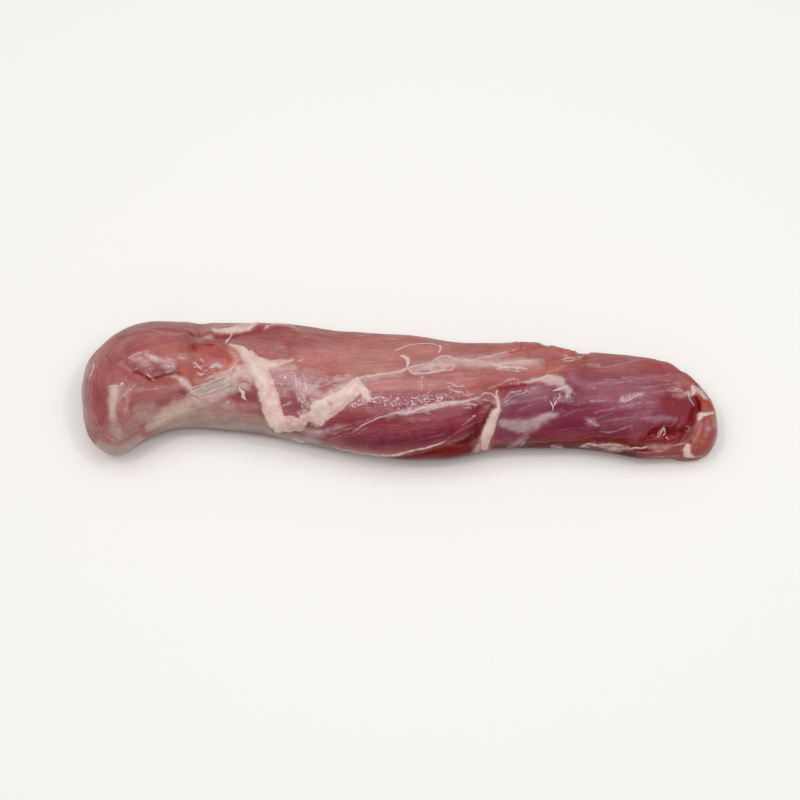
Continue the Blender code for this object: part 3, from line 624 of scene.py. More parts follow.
    "plum hair one": (0.2, (560, 416, 0.6), (575, 411, 0.7), (590, 408, 0.6)),
    "plum hair two": (0.12, (556, 431, 0.6), (572, 428, 0.7), (586, 427, 0.6)),
    "by the ripples one": (0.3, (374.5, 383.5, 0.6), (392, 381, 0.8), (411.5, 382, 0.6)),
    "by the ripples two": (0.28, (370, 392, 0.6), (385, 387.6, 0.8), (402, 391, 0.6)),
    "under the fan": (0.3, (442, 376.7, 0.6), (462, 374.5, 0.8), (490, 371, 0.6)),
    "front hair one": (0.1, (372, 436, 0.6), (395, 431, 0.8), (420, 428, 0.6)),
    "front hair two": (0.1, (400, 443, 0.6), (425, 438, 0.8), (446, 431, 0.6)),
    "far side hair one": (0.2, (286, 335, 0.6), (310, 337, 0.8), (335, 341, 0.6)),
    "far side hair two": (0.2, (300, 352, 0.6), (330, 351, 0.8), (362, 352, 0.6)),
    "glint line of the lobe": (0.9, (192, 363, 0.7), (195, 362.6, 0.9), (197, 366.5, 0.8),
        (202, 369.4, 0.8)),
    "glints of the lobe": (0.8, (212, 367.4, 0.8), (216.5, 365, 0.9), (221.5, 368, 0.7)),
    "first glint under the lobe": (0.8, (196.5, 372, 0.6), (201, 374.6, 0.8), (206, 373.2, 0.6)),
    "second glint under the lobe": (0.8, (202.6, 379.2, 0.6), (209, 378.2, 0.8), (214.6, 375.4, 0.6)),
    "third glint under the lobe": (0.7, (208, 371.6, 0.6), (213.6, 373, 0.8), (219, 372.4, 0.6)),
    "lower glint of the lobe": (0.8, (207.4, 375.4, 0.7), (212.8, 376.7, 0.7)),
}

# Bulges and hollows of the flesh: height in mm, softness in px, then the stroke
forms = {
    "film bulge of the head": (0.45, 6, (142, 362, 5), (160, 362, 7), (172, 366, 4)),
    "lip over the cleft": (0.5, 5, (150, 371, 3), (168, 369, 3)),
    "lower lobe of the head": (0.8, 7, (140, 393, 8), (162, 391, 9), (178, 389, 5)),
    "hollow of the head end": (-0.6, 6, (99, 386, 5), (100, 405, 6)),
    "ridge of the pale band": (0.5, 4, (115.5, 384, 3), (115, 400, 4), (113, 420, 2)),
    "cut lobe": (0.7, 7, (204, 354, 10), (212, 359, 14), (219, 360, 13), (204, 372, 9)),
    "gutter round the lobe": (-0.25, 5, (190, 349, 2), (188.5, 366, 2)),
    "step under the lobe": (-0.5, 3, (192, 391, 1.6), (204, 388, 2), (218, 383, 2), (229, 376, 2)),
    "far valley": (-0.8, 4, (214, 338, 3), (236, 337, 3)),
    "plum window": (-0.7, 5, (231, 398, 3.4), (241, 397, 4.6), (252, 400, 5)),
    "hollow beside the collar": (-1.0, 6, (284, 386, 4), (293, 398, 7), (302, 408, 5)),
    "rise by the arm": (0.6, 8, (380, 386, 6), (430, 386, 6)),
    "ridge of the fan": (0.5, 6, (410, 367, 3), (460, 363, 6), (540, 364, 4)),
    "valley along the seam": (-0.6, 5, (372, 408, 2), (430, 400, 3), (480, 395, 2)),
    "front bulge": (0.9, 10, (360, 431, 7), (420, 433, 9), (462, 426, 6)),
    "hollow before the band": (-0.8, 6, (480, 408, 3), (476, 428, 4)),
    "lavender bulge": (0.9, 6, (512, 401, 6), (530, 399, 7), (546, 397, 4)),
    "fold over the grey patch": (-0.5, 3, (504, 417, 1.5), (530, 415, 2)),
    "far ridge": (1.9, 5, (250, 323.5, 3), (262, 322, 4), (278, 322, 4), (294, 324.5, 3)),
    "first lump": (0.5, 2.4, (285, 421, 1.6), (287, 421, 1.6)),
    "second lump": (0.6, 2.4, (293, 425, 1.6), (295, 425, 1.6)),
    "third lump": (0.5, 2, (300.5, 423, 1.2), (302, 423, 1.2)),
    "far flap": (0.7, 3, (503, 346, 3.5), (540, 346, 4), (566, 351, 3.5)),
    "first part of the far flap": (0.6, 2, (515, 344, 2), (537.5, 344, 2)),
    "gap in the far flap": (-0.9, 2.6, (545.5, 345.5, 1.6), (555, 346.5, 1.4)),
    "edge of the far flap": (1.1, 3, (551, 347.5, 2), (566, 348, 2), (574, 352, 1.5)),
    "notch behind the flap": (-2.6, 3, (580, 352.4, 1.8), (586, 352.8, 1.8)),
    "groove of the tail": (-0.5, 5, (562, 408, 2), (600, 422, 3), (640, 426, 2)),
    "bulge of the tail": (0.8, 9, (590, 400, 8), (635, 400, 10), (668, 401, 6)),
    "lower lip of the tail": (0.6, 4, (590, 447, 2), (630, 449, 2), (665, 453, 2)),
    "crevice inside the cuff": (-0.9, 5, (694, 397.4, 1), (695.4, 403, 2.4), (695.4, 409, 3.2),
        (692, 416.6, 3.4), (687.5, 424.6, 2.4), (682.6, 431, 1)),
    "hollow of the cuff": (-0.6, 5, (700, 399, 2.5), (705, 403, 3.4), (704, 408, 2.4)),
    "corner of the far end": (1.9, 5, (665, 365, 3), (671, 367.6, 3.4), (676, 371.4, 2)),
    "straight of the far end": (-2.8, 6, (688, 377, 2), (694, 382, 3), (701, 389, 3.2), (706, 395, 2)),
    "foot of the cuff": (-1.6, 5, (672, 459.8, 2.4), (682, 460.8, 3), (692, 460.6, 3), (700, 458.4, 2)),
    "pocket": (-1.3, 5, (651, 435, 3), (663, 433, 4), (672, 435, 3)),
    "cuff": (0.8, 4, (708, 420, 4), (708, 430, 6), (702, 446, 5)),
}

# Gaps between muscles and torn edges, which sink in. Each starts with its depth in mm
# Crimson painted in each is painted shade, darker the deeper it sinks; by the band, under the pale
# flap, at the far edge's tear and below the long membrane it is the painted shadow cast there
clefts = {
    "edgeMm": 1.8,
    "raggedTimes": 1 / 3,
    "paintedShade": 0.2,         # painted shade of one of no depth
    "paintedShadeMm": 2.2,         # and the depth that adds 1 to that shade, where 1 is as dark as it gets
}
clefts["strokes"] = {
    "across the head": (1.4, (134, 371.8, 0.4), (141, 373.8, 0.6), (147, 376.6, 0.7), (151, 379.6, 0.8),
        (156, 378, 0.7), (162, 375.6, 0.5), (171, 374.6, 0.5), (179, 374, 0.3)),
    "nick in the head end": (0.6, (107, 356, 0.6), (110, 360, 0.9), (110.5, 364, 0.5)),
    "right end of the head": (0.4, (180, 391, 0.9), (187, 393.4, 1.5), (192, 396, 0.8)),
    "swirl behind the head": (0.3, (189, 334, 0.7), (194, 338, 0.9), (196, 344, 0.9), (194.5, 350, 0.6)),
    "outer swirl": (0.2, (195, 329.5, 0.8), (199.5, 334, 1), (200.5, 340, 0.8)),
    "far rim of the lobe": (0.45, (198, 345.5, 0.8), (207, 341.5, 1), (218, 342, 0.9), (227, 347.5, 0.7)),
    "inside the cuff": (0.7, (694.4, 398, 1), (697, 404, 2.4), (697, 410, 3), (694, 416.6, 3),
        (689.5, 424, 2.4), (684, 430.6, 1.2)),
    "hollow of the tail": (0.8, (644, 441, 1), (650, 436, 2.4), (657, 431, 3.4), (664, 430, 3),
        (668, 437, 2.4)),
    "tear at the far edge": (0.7, (508, 351.5, 0.6), (520, 350, 0.8), (533, 349, 0.7), (546, 348.2, 0.5)),
    "split in the far edge": (0.6, (520, 343.5, 0.5), (521.5, 347, 0.8), (522, 350, 0.6)),
    "under the pale flap": (0.3, (500, 387.5, 0.8), (512, 385, 1.2), (524, 384, 1.2), (537, 384.5, 0.8)),
    "beside the band": (0.5, (500.6, 412, 0.7), (498.4, 422, 0.9), (494.8, 431, 0.9), (491, 441, 0.9)),
    "left of the band": (1.0, (493.4, 407, 0.6), (487.4, 414.4, 0.8), (484, 422, 0.8), (480.6, 430, 0.9),
        (478, 438, 0.9), (475.6, 446, 0.7)),
    "below the long membrane": (0.5, (350, 456, 0.8), (375, 457.5, 1.2), (400, 457.5, 1.3),
        (430, 452.5, 1.5), (455, 448, 1.5)),
}

# Where the meat turns under or lies in a hollow, out of the light, its wet coat hardly shines
dull = {
    "edgeMm": 3.0,
}
dull["strokes"] = {
    "low edge of the middle": (0.95, (350, 457, 1.4), (370, 459, 2.6), (390, 459, 3.4), (410, 457, 5),
        (430, 455, 6.4), (450, 452, 7.4), (472, 447, 8)),
    "low edge of the tail": (0.9, (494, 446, 4), (520, 446, 4), (550, 446, 4.4), (590, 449, 4.4),
        (630, 454, 4.4)),
    "below the pocket": (0.6, (645, 442, 3), (660, 441, 4), (680, 440, 4)),
    "crevice of the cuff": (0.8, (694, 397, 2), (697, 404, 3), (697, 412, 3.4), (692, 421, 3.4),
        (684, 431, 3)),
    "pocket": (0.7, (646, 440, 2), (654, 434, 4), (664, 431, 5), (676, 431, 5)),
}

# Where standing wet and fine wrinkles break the light into small glints
# The same share paints pale curls into the colour there: painted glints
ripples = {
    "heightMm": 0.20,
    "cellMm": 2.4,
    "edgeMm": 3.6,
}
ripples["strokes"] = {
    "left of the middle": (1.0, (352, 407, 2), (362, 402, 3.4), (372, 399, 4)),
    "along the middle": (0.8, (372, 400, 4), (388, 401, 7.6), (402, 404, 9), (418, 404, 8), (434, 401, 6),
        (448, 397, 4.4), (457, 395, 2.2)),
    "fingerprint": (0.4, (420, 386, 3), (432, 387, 3)),
    "squiggles": (0.4, (448, 387, 3), (462, 389, 3), (472, 394, 2)),
    "right of the seam": (0.8, (463, 405, 1.6), (477, 406, 1.8)),
    "on the lobe": (0.7, (193, 365, 2), (203, 369, 3), (216, 367, 4)),
    "under the lobe": (0.7, (200, 374, 2), (212, 377, 2)),
    "bulge of the head": (0.7, (160, 361, 3), (169, 364, 4)),
    "in the cleft": (0.8, (148, 375, 2), (154, 378, 2)),
    "web of the plum muscle": (0.3, (278, 376, 3), (292, 380, 6), (306, 386, 6), (310, 396, 4)),
    "on the plum muscle": (0.9, (281, 384, 2.4), (296, 391, 3.4), (302, 399, 4), (306, 408, 3)),
    "beside the band": (0.3, (503, 402, 2), (512, 396, 3), (522, 392, 2.6), (534, 389, 2)),
    "tail": (0.6, (622, 400, 2), (630, 398, 3), (640, 395.5, 2.4)),
    "near the cuff": (0.5, (674, 388, 2.4), (680, 390, 2.4)),
}

# Colours of the muscle under all that: the softness of each patch's edge in px, then its stroke
# Some patches, marked below, paint shade, sheen or a highlight into the colour
tones = {
    "sheen": 0.030,          # the white sheen that the picture's colours hold, taken off before painting
    "light": 1.15,           # and how strongly the flesh is lit there
    "darkest": 0.003,
    "base": "a8625f",
}
tones["patches"] = {
    "ground of the head": ("ac6867", 14, (95, 395, 20), (130, 365, 30), (165, 360, 30), (185, 370, 25)),
    "ground of the far side": ("b06d69", 14, (220, 350, 15), (320, 350, 20), (450, 352, 16),
        (560, 360, 14)),
    "ground of the front": ("8a4450", 12, (300, 432, 12), (380, 430, 18), (450, 425, 18), (495, 420, 14)),
    "ground of the tail": ("8c4858", 14, (520, 412, 20), (580, 405, 30), (640, 405, 32), (680, 415, 20)),
    # painted shade: darker where the sheet turns under towards the floor
    "low edge of the waist": ("8f756b", 7, (160, 434, 6), (220, 432, 6), (270, 438, 6), (330, 450, 5)),
    # painted shade of the low edge, where the meat turns under towards the floor
    "low edge of the middle": ("560404", 3, (345, 459.5, 2), (370, 462, 3), (400, 463.5, 3.6),
        (440, 461.5, 5), (480, 455, 5)),
    # painted shade of the low edge, where the tail turns under towards the floor
    "low edge of the tail": ("52040c", 4, (494, 447, 3), (512, 447.2, 3.4), (540, 447.4, 5.4),
        (575, 448.6, 5.4), (600, 451, 4), (640, 457, 4.2)),
    "foot of the cuff": ("9a5250", 7, (650, 458, 5), (690, 462, 6)),
    "far side of the head": ("ac6866", 8, (100, 365, 10), (125, 345, 12), (165, 335, 12), (190, 335, 8)),
    "top of the head": ("b8726b", 8, (150, 343, 6), (170, 345, 8), (184, 358, 7)),
    "middle of the head": ("ac6e69", 8, (130, 390, 8), (160, 392, 9), (175, 392, 6)),
    "end of the head": ("a05c5c", 6, (98, 386, 5), (100, 402, 6), (104, 417, 5)),
    "rim of the head end": ("9c6866", 5, (86, 385, 2), (85, 405, 2), (89, 425, 3), (97, 437, 3)),
    "under side of the head": ("9e7270", 9, (112, 432, 6), (125, 435, 8), (138, 428, 6)),
    "chin": ("ccb8ae", 7, (100, 444.6, 2), (108, 449.4, 3.4), (118, 451, 4.2), (130, 446, 3.6),
        (138, 440, 2.4)),
    "pale right of the band": ("b5827d", 4, (124.5, 391, 2.4), (126, 400, 3.4), (125, 410, 2.4)),
    "grey of the head": ("ab8a84", 6, (142, 409, 5), (150, 413, 5)),
    "purple end of the head": ("96606a", 4, (180, 391, 2.4), (189, 394.4, 2.6)),
    "purple in the cleft": ("a06468", 4, (152, 371, 3), (162, 372, 3)),
    "salmon beside the lobe": ("b46a62", 5, (182, 350, 4), (184, 366, 4)),
    "cut lobe": ("b76662", 4, (203, 352, 9), (209, 358, 13), (219, 358, 13), (205, 368, 10), (199, 378, 7)),
    "red arc of the lobe": ("ab3a32", 2.4, (200, 345.6, 1), (206, 344.4, 1.9), (212, 346, 1.2)),
    "orange rim of the lobe": ("d48a7a", 3, (230, 351.5, 1.2), (235.5, 357.5, 2), (234.5, 364, 3.4),
        (229, 367.5, 3.6)),
    "cream rim of the lobe": ("dcb7a4", 2.2, (235.5, 364, 0.8), (231, 370, 1.2), (225.5, 373, 1.2)),
    "pink of the lower lobe": ("ca9083", 3.4, (196, 380, 2.6), (204, 381, 3.2), (210.5, 380.4, 2)),
    # painted highlight: a pale pink patch where the lobe glints
    "painted highlight of the lobe": ("c8a0a4", 2.4, (213, 366, 1.6), (217.5, 364.6, 2.2), (221, 368, 1.6)),
    "pale flesh of the lobe": ("d6aea0", 2.6, (211.5, 376.4, 1.6), (218, 376.2, 3.2), (225, 372.6, 2.8)),
    "orange corner of the head": ("c47564", 3.4, (181, 371, 3), (187, 372.5, 3.4)),
    "swirl behind the head": ("a4534e", 4, (190, 337, 5), (195, 347, 4)),
    "far grey band of the head": ("a36c6e", 5, (125, 332, 4), (145, 325, 4), (170, 323, 4), (190, 326, 3)),
    "dark streak of the far head": ("a0504e", 2.4, (120, 338, 1.4), (145, 332, 1.8), (165, 329, 1.6),
        (182, 330, 1.4)),
    "first ring of the swirl": ("a0545a", 1.8, (180, 328.5, 0.8), (189, 327.5, 1), (196.5, 331, 0.9),
        (200.5, 337, 0.8)),
    "second ring of the swirl": ("944648", 1.8, (183, 334, 0.6), (190.5, 333.5, 0.9), (195.5, 338, 0.9),
        (197, 345, 0.8), (196, 351, 0.6)),
    "third ring of the swirl": ("93484c", 3, (191, 339, 1.4), (194, 342.5, 2), (193, 347, 1.4)),
    "recess over the cleft": ("ad7274", 2.4, (140, 374, 1), (150, 374.5, 1.6), (160, 372, 1.6)),
    # deep red flesh, darkened further as painted shade in the cleft
    "crimson in the cleft": ("983844", 1.2, (134, 371.6, 0.3), (141, 374, 0.7), (150, 378.6, 0.9),
        (158, 376.6, 0.7), (170, 374.6, 0.4)),
    "cream of the waist": ("c6a693", 5, (149, 428, 3), (159, 420.6, 7), (168, 415.6, 8.6),
        (178, 411.4, 8.6), (189, 406.4, 6.4)),
    "mauve of the lower head": ("a5807b", 6, (140, 414, 6), (148, 418, 6), (152, 408, 5)),
    "dark spot of the head": ("8a4a50", 2.4, (141, 427, 1.6), (145, 426, 1.4)),
    "pale band of the head": ("cdb1a8", 2.4, (114.5, 388, 3.6), (114.5, 397, 4), (113, 406, 3.6),
        (112.5, 416, 2.4)),
    "foot of the pale band": ("a98a86", 5, (113, 418, 2.4), (115, 428, 3), (120, 438, 3)),
    "pale spot behind the head": ("d8b2ac", 3, (208, 337, 1.5), (212, 336, 1.5)),
    "dark far edge": ("984a4e", 4, (217, 337, 4), (235, 336, 4), (262, 331, 3), (295, 328, 2)),
    "far muscle": ("a86362", 8, (245, 345, 6), (275, 345, 12), (310, 345, 10)),
    "salmon top": ("c2827a", 12, (300, 358, 8), (340, 360, 14), (390, 352, 12), (440, 350, 8)),
    "grey film ground": ("c09a98", 5, (227, 378, 3.4), (238, 373.5, 6), (248, 372, 5)),
    "pale ground under the strands": ("cdb1ab", 4, (200, 398, 2.4), (212, 396.5, 3.4), (226, 392, 4.6),
        (238, 388, 6), (246, 388, 4)),
    "tendon flap": ("d0b6ac", 2, (179, 378.4, 0.8), (183.5, 381, 2.8), (187.4, 385.4, 3),
        (190.5, 390.4, 1.5)),
    "strand ground": ("c8aca4", 3.4, (193, 393, 2), (203, 391, 3), (215, 387.5, 3.4), (226, 383, 3)),
    "plum window": ("985560", 5, (231, 397.4, 3.4), (240, 396, 5.4), (252, 399, 6)),
    "pale below the strands": ("ab8c88", 4, (194, 405, 4), (206, 403.4, 4.6), (219, 405, 4),
        (234, 409, 2.6)),
    "lilac under the plum window": ("9c6a6c", 4, (230, 407, 3), (243, 407.6, 4), (258, 409, 4)),
    "plum beside the collar": ("884452", 5, (285, 402, 6), (294, 406.6, 7), (307, 406, 5)),
    "mauve film ground": ("b17b82", 8, (280, 378, 6), (295, 380, 8), (308, 384, 6)),
    "pale ground of the web": ("cfaeae", 5, (288, 389, 1.6), (297, 388, 3), (306, 391, 3), (317, 393, 2.6)),
    "salmon by the arm": ("c08a82", 8, (355, 368, 8), (380, 370, 8), (400, 372, 6)),
    "rose above the ripples": ("c08784", 6, (365, 383, 6), (400, 383, 7), (430, 383, 7), (470, 380, 6)),
    "pale flesh under the lumps": ("ae918a", 4, (304, 430.5, 2), (312, 430.5, 3), (320, 431.5, 2.6)),
    "ripple ground": ("9c5560", 6, (345, 402, 5), (385, 402, 7), (420, 400, 7), (460, 396, 5)),
    "crimson front": ("92444f", 8, (345, 425, 6), (380, 428, 10), (430, 425, 12), (470, 416, 8)),
    "pale along the seam": ("bb9093", 2.4, (400, 414, 1), (412, 412, 2), (422, 409.6, 2.6),
        (436, 406.6, 2.4), (450, 404, 1.8), (468, 401, 1)),
    "purple front": ("803245", 7, (350, 440, 5), (375, 443, 7), (410, 440, 7), (450, 432, 6)),
    # the flesh's deep red, darkened further as painted shade where the meat turns under
    "dark red low edge": ("7a0818", 2.6, (384, 459, 1.6), (404, 458, 3.2), (424, 455.6, 5),
        (444, 452.6, 6.4), (458, 451, 5.6), (470, 449, 4.4)),
    "crimson before the band": ("6a1c2e", 4, (456, 444, 2), (466, 441, 4.8), (473, 434, 4.4),
        (477, 424, 2.4)),
    "salmon under the fan": ("b97772", 6, (440, 372, 4), (480, 376, 6), (520, 374, 5), (555, 370, 4)),
    "fan ground": ("c5958c", 5, (415, 366, 4), (450, 363, 6), (500, 362, 6), (538, 364, 5)),
    "crimson by the band": ("82303c", 5, (470, 408, 4), (480, 404.4, 5), (489, 402, 4)),
    # painted shadow that the band casts beside it
    "crimson edge of the band": ("5c0418", 1.8, (494, 407, 0.8), (487, 414.4, 1.3), (483.4, 422, 1.4),
        (479.8, 430, 1.6), (477, 438, 1.6)),
    "grey foot of the band": ("9c7a78", 2.4, (480.4, 446, 2.2), (478, 451, 1.8)),
    "red under the flap": ("913a49", 4, (500, 388, 2), (515, 386, 3), (533, 385, 2)),
    # partly painted sheen: its mauve stands in part for the soft reflection over crimson flesh
    "lavender": ("8a5d72", 6, (507, 408, 4), (511, 400, 5), (520, 395, 4)),
    "plum by the lavender": ("96586a", 6, (520, 411, 4), (537, 403, 6), (545, 400, 4)),
    "mauve right of the lavender": ("a0707c", 6, (527, 395, 4.4), (538, 391, 6), (547, 390, 5),
        (552, 398, 5)),
    "grey patch": ("a08084", 2, (502, 424, 4.4), (514, 425.4, 5.6), (524, 427.2, 6.6), (533, 424.2, 5.2),
        (541, 419.4, 3.4), (549, 416, 2.2), (556, 414.6, 1)),
    "bright end of the grey patch": ("b7989b", 1.6, (536, 420, 1.6), (542, 416.4, 2.2), (549, 414.4, 2),
        (555, 414, 1)),
    "plum under the grey patch": ("7c4050", 5, (500, 436, 5), (515, 438, 5), (531, 438, 6)),
    "below the grey patch": ("86505e", 5, (499, 433, 3), (505, 436, 4), (511, 440, 3.4)),
    "pale flap": ("c9a5a3", 2, (528, 381.6, 0.2), (536, 379.8, 1.2), (547, 380, 4), (556, 380.5, 4.6),
        (561, 382, 3.6)),
    "second flap": ("c9a9aa", 2, (561, 389, 1.6), (566, 388, 2.8), (568.6, 391.4, 2.2), (567, 395.6, 1)),
    "far flap": ("b8706c", 5, (500, 348, 4), (540, 350, 5), (570, 354, 4)),
    "orange behind the flap": ("bb7166", 5, (548, 366, 4), (560, 368, 4)),
    "far side of the tail": ("ab6c6f", 8, (600, 364, 8), (630, 366, 9), (660, 368, 8)),
    "orange top of the tail": ("a9514f", 6, (648, 363, 4), (658, 366, 4)),
    "red far corner of the tail": ("a4565a", 7, (640, 372, 4), (665, 374, 5), (682, 384, 3)),
    "mauve of the tail": ("9c5c6a", 12, (590, 390, 10), (620, 388, 12), (655, 388, 9)),
    "mauve right of the flap": ("a3707b", 6, (571, 376, 3), (577, 382, 4.4), (586, 386, 4)),
    "plum of the tail": ("904858", 12, (570, 412, 8), (600, 412, 10), (635, 412, 8)),
    "dark plum of the tail": ("803a4e", 9, (539, 434, 4), (553, 430, 6), (575, 425, 8), (600, 430, 7),
        (625, 432, 5)),
    "crimson of the tail": ("8c3a48", 9, (655, 404, 6), (672, 404, 8), (682, 410, 6)),
    "plum left of the tail": ("803f4f", 8, (552, 402, 6), (565, 402, 8), (578, 400, 8)),
    "pale streak of the tail": ("955867", 5, (600, 411, 1.6), (622, 407, 2.4), (645, 407, 3.4),
        (658, 406, 2)),
    "flesh before the crevice": ("95444c", 5, (668, 404, 5), (680, 408, 8), (682, 416, 6)),
    "low red of the tail": ("741a28", 6, (540, 443, 5), (575, 442, 5), (620, 440, 5), (650, 452, 4)),
    # deep red flesh, darkened further as painted shade of the hollow
    "pocket": ("7c0628", 5, (641, 441, 2), (652, 434, 5), (664, 430, 7), (676, 430, 7), (684, 432, 5)),
    "crimson below the pocket": ("842038", 4, (642, 441, 2.4), (655, 440, 3.2), (668, 440, 3.6),
        (680, 439, 3.4)),
    # deep red flesh, darkened further as painted shade of the crevice
    "inside the crevice": ("760016", 3.6, (693, 397.4, 1.4), (696, 402, 3), (697, 408, 4),
        (695.6, 414, 4.4), (692.4, 420, 4.4), (688, 427, 3.6), (682, 433, 2)),
    "orange of the cuff": ("ac5844", 4, (703.5, 399, 3), (707.5, 403, 4.4), (708, 408, 3.6)),
    "red root of the orange": ("9c1a1e", 3.4, (697.5, 396.5, 1.6), (699.6, 401, 2.8), (700.4, 406.4, 2.4)),
    "flesh of the cuff": ("a65d56", 4, (709, 425, 6), (707, 436, 8), (701, 447, 6)),
    "inner edge of the cuff": ("c07a66", 2.4, (701, 424, 1.4), (698, 432, 2.2), (694, 441, 2.4)),
    "right rim of the cuff": ("b98078", 2, (716, 416, 1), (717.5, 428, 1.4), (715, 442, 1.2)),
    "red seam of the cuff": ("8c2424", 2, (691, 441, 0.8), (687, 446, 1), (690, 452, 0.8)),
    "dark line over the crevice": ("7a1a2a", 1.6, (691, 398, 0.5), (692.5, 408, 0.7), (689, 418, 0.6)),
    "grey rim of the cuff": ("d0beb6", 2, (694.5, 386, 2.4), (699, 388.6, 3.4), (703.5, 392, 3.2),
        (707, 396.4, 1.8)),
    "pale foot of the cuff": ("c9a69c", 2.6, (688, 456.5, 1.2), (696, 458.5, 1.6), (704, 457, 1.2)),
    "mauve of the cuff": ("ab7476", 3, (705, 428, 2), (709, 430, 2.4), (713, 427, 2)),
    "shadow of the notch": ("7c3a40", 3, (580, 355, 1.5), (586, 357, 1.5)),
    "dark of the swirl": ("98504c", 2, (188.5, 347, 0.7), (189.5, 351, 0.8), (188.5, 356, 0.6)),
    "under the cuff": ("9a5553", 4, (640, 455, 2), (665, 456, 3), (690, 459, 2)),
}

# The same on the back and the underside, which the camera does not see: x along the meat, the way round
# it from the top towards the back, and half the width, all in mm
unseen = {
    "fat": (
        ((-119, 57, 0.4), (-112, 58.4, 1.2), (-104, 57.6, 2.2), (-98, 58.6, 1.5), (-91, 61, 0.4)),
        ((-60, 68, 0.3), (-52, 66.6, 0.9), (-44, 67.2, 1.8), (-37, 66.4, 1.3), (-29, 64.6, 0.4)),
        ((20, 57, 0.4), (27, 59, 1.1), (35, 58.4, 1.0), (43, 60.6, 0.4)),
        ((88, 64, 0.3), (96, 65.4, 1.3), (104, 64.8, 1.4), (115, 67, 0.4)),
        ((-20, -84, 0.6), (-9, -87, 1.8), (3, -85, 1.5), (12, -88, 0.6)),
    ),
    "silverskin": (
        ((-120, 74, 3), (-95, 78, 6), (-60, 80, 7), (-25, 82, 5), (0, 84, 3)),
        ((-95, -78, 5), (-60, -82, 8), (-25, -80, 6)),
    ),
    "film": (
        (0.35, (-95, 56, 3), (-70, 58, 5), (-40, 55, 5), (-15, 58, 2)),
        (0.35, (0, 62, 3), (30, 66, 7), (60, 64, 5)),
        (0.3, (75, 52, 2), (100, 52, 5), (130, 56, 3)),
        (0.18, (-150, 50, 4), (-140, 64, 8), (-135, 80, 6)),
        (0.2, (20, -82, 3), (60, -80, 6), (110, -78, 4)),
    ),
    "lines": (
        (0.6, (-100, 40, 0.4), (-70, 43, 0.5), (-40, 47, 0.5), (-12, 49, 0.4)),
        (0.5, (-84, 60, 0.4), (-55, 57, 0.5), (-32, 58, 0.4)),
        (0.55, (-8, 52, 0.3), (20, 57, 0.5), (48, 63, 0.5), (76, 66, 0.3)),
        (0.45, (10, 46, 0.3), (30, 44, 0.4), (52, 47, 0.3)),
        (0.6, (62, 47, 0.3), (85, 52, 0.5), (112, 54, 0.5), (138, 60, 0.3)),
        (0.4, (96, 70, 0.3), (118, 69, 0.4), (140, 74, 0.3)),
        (0.4, (-70, 92, 0.4), (-30, 90, 0.5), (15, 92, 0.4)),
        (0.4, (30, 86, 0.4), (70, 84, 0.5), (105, 87, 0.4)),
    ),
    "tones": (
        ("a5605f", 14, (-130, 60, 20), (-60, 62, 24), (20, 62, 24), (100, 62, 22)),
        ("9a5252", 9, (-60, 44, 5), (-20, 47, 6), (20, 44, 5)),
        ("8d474c", 8, (40, 66, 5), (80, 70, 7), (120, 70, 5)),
        ("b57a72", 9, (-100, 62, 6), (-60, 66, 7), (-20, 64, 6)),
        ("97595c", 12, (-140, 92, 14), (0, 94, 18), (140, 92, 14)),
        ("97595c", 12, (-140, -92, 10), (0, -94, 14), (140, -92, 10)),
    ),
    "edgeMm": {"silverskin": 5, "film": 5, "lines": 0.8},
    "backMm": 42,            # it sets in this far round to the back
    "frontMm": 70,           # and this far round to the front
    "blendMm": 8,
    "fatFadeMm": 20,         # how much shallower the fat gets where the camera sees the meat
    "wobbles": (             # cell and reach of each wave in its edges, in mm, and its noises' starts
        (5.0, 1.0, (2.6, 9.4)),
        (2.0, 0.5, (5.6, 1.4)),
    ),
}

# Cell and reach of each wave that makes the edges uneven, in mm, and where its noise starts
warp = ((6.0, 0.7, 0.4), (2.4, 0.45, 3.1), (1.2, 0.25, 6.7))

# How depths inside a stroke are worked out, in mm
measuring = {
    "farOutside": -99.0,     # the depth of a point beyond the stroke's reach
    "reach": 6.0,
    "leastStepSquared": 1e-9,    # so that two marks in one place do not divide by nothing
}

# Where the other noises start, so that no two of them run alike
starts = {
    "bundle": 3.7, "fine": 11.3, "ragged": 5.1, "fineRagged": 8.2, "halo": 7.7, "breaks": 4.4,
    "lumps": 2.2, "fineLumps": 6.1, "ripples": 1.9,
    "down": 20.0,            # how much later than those across the waves down the picture start
}


def depthAlong(space, centres, halves):
    # how deep inside a stroke each point of the skin lies, in mm, and negative outside it
    depth = np.full(len(space), measuring["farOutside"])
    margin = halves.max() + measuring["reach"]
    inBox = np.all((space > centres.min(0) - margin) & (space < centres.max(0) + margin), axis=1)
    near = space[inBox]
    best = np.full(len(near), measuring["farOutside"])
    for a, b, widthA, widthB in zip(centres, centres[1:], halves, halves[1:]):
        step = b - a
        share = np.clip((near - a) @ step / max(step @ step, measuring["leastStepSquared"]), 0, 1)
        gap = np.linalg.norm(near - a - share[:, None] * step, axis=1)
        best = np.maximum(best, widthA + (widthB - widthA) * share - gap)
    depth[inBox] = best
    return depth


def strokeDepth(space, tree, stroke):
    marks = np.array(stroke, dtype=float)
    places = np.array([onMeat(tree, x, y)[0] for x, y, _ in marks]) * mmPerMetre
    return depthAlong(space, intoPicture(places), marks[:, 2] * mmPerPx)


def roundDepth(around, stroke):
    # as strokeDepth, for a stroke that is given along and round the meat
    marks = np.array(stroke, dtype=float)
    return depthAlong(around, marks[:, :2], marks[:, 2])


def deepest(space, tree, layer):
    return np.max([strokeDepth(space, tree, stroke) for stroke in layer["strokes"].values()], axis=0)


def deepestUnseen(around, layer):
    return np.max([roundDepth(around, stroke) for stroke in unseen[layer]], axis=0)


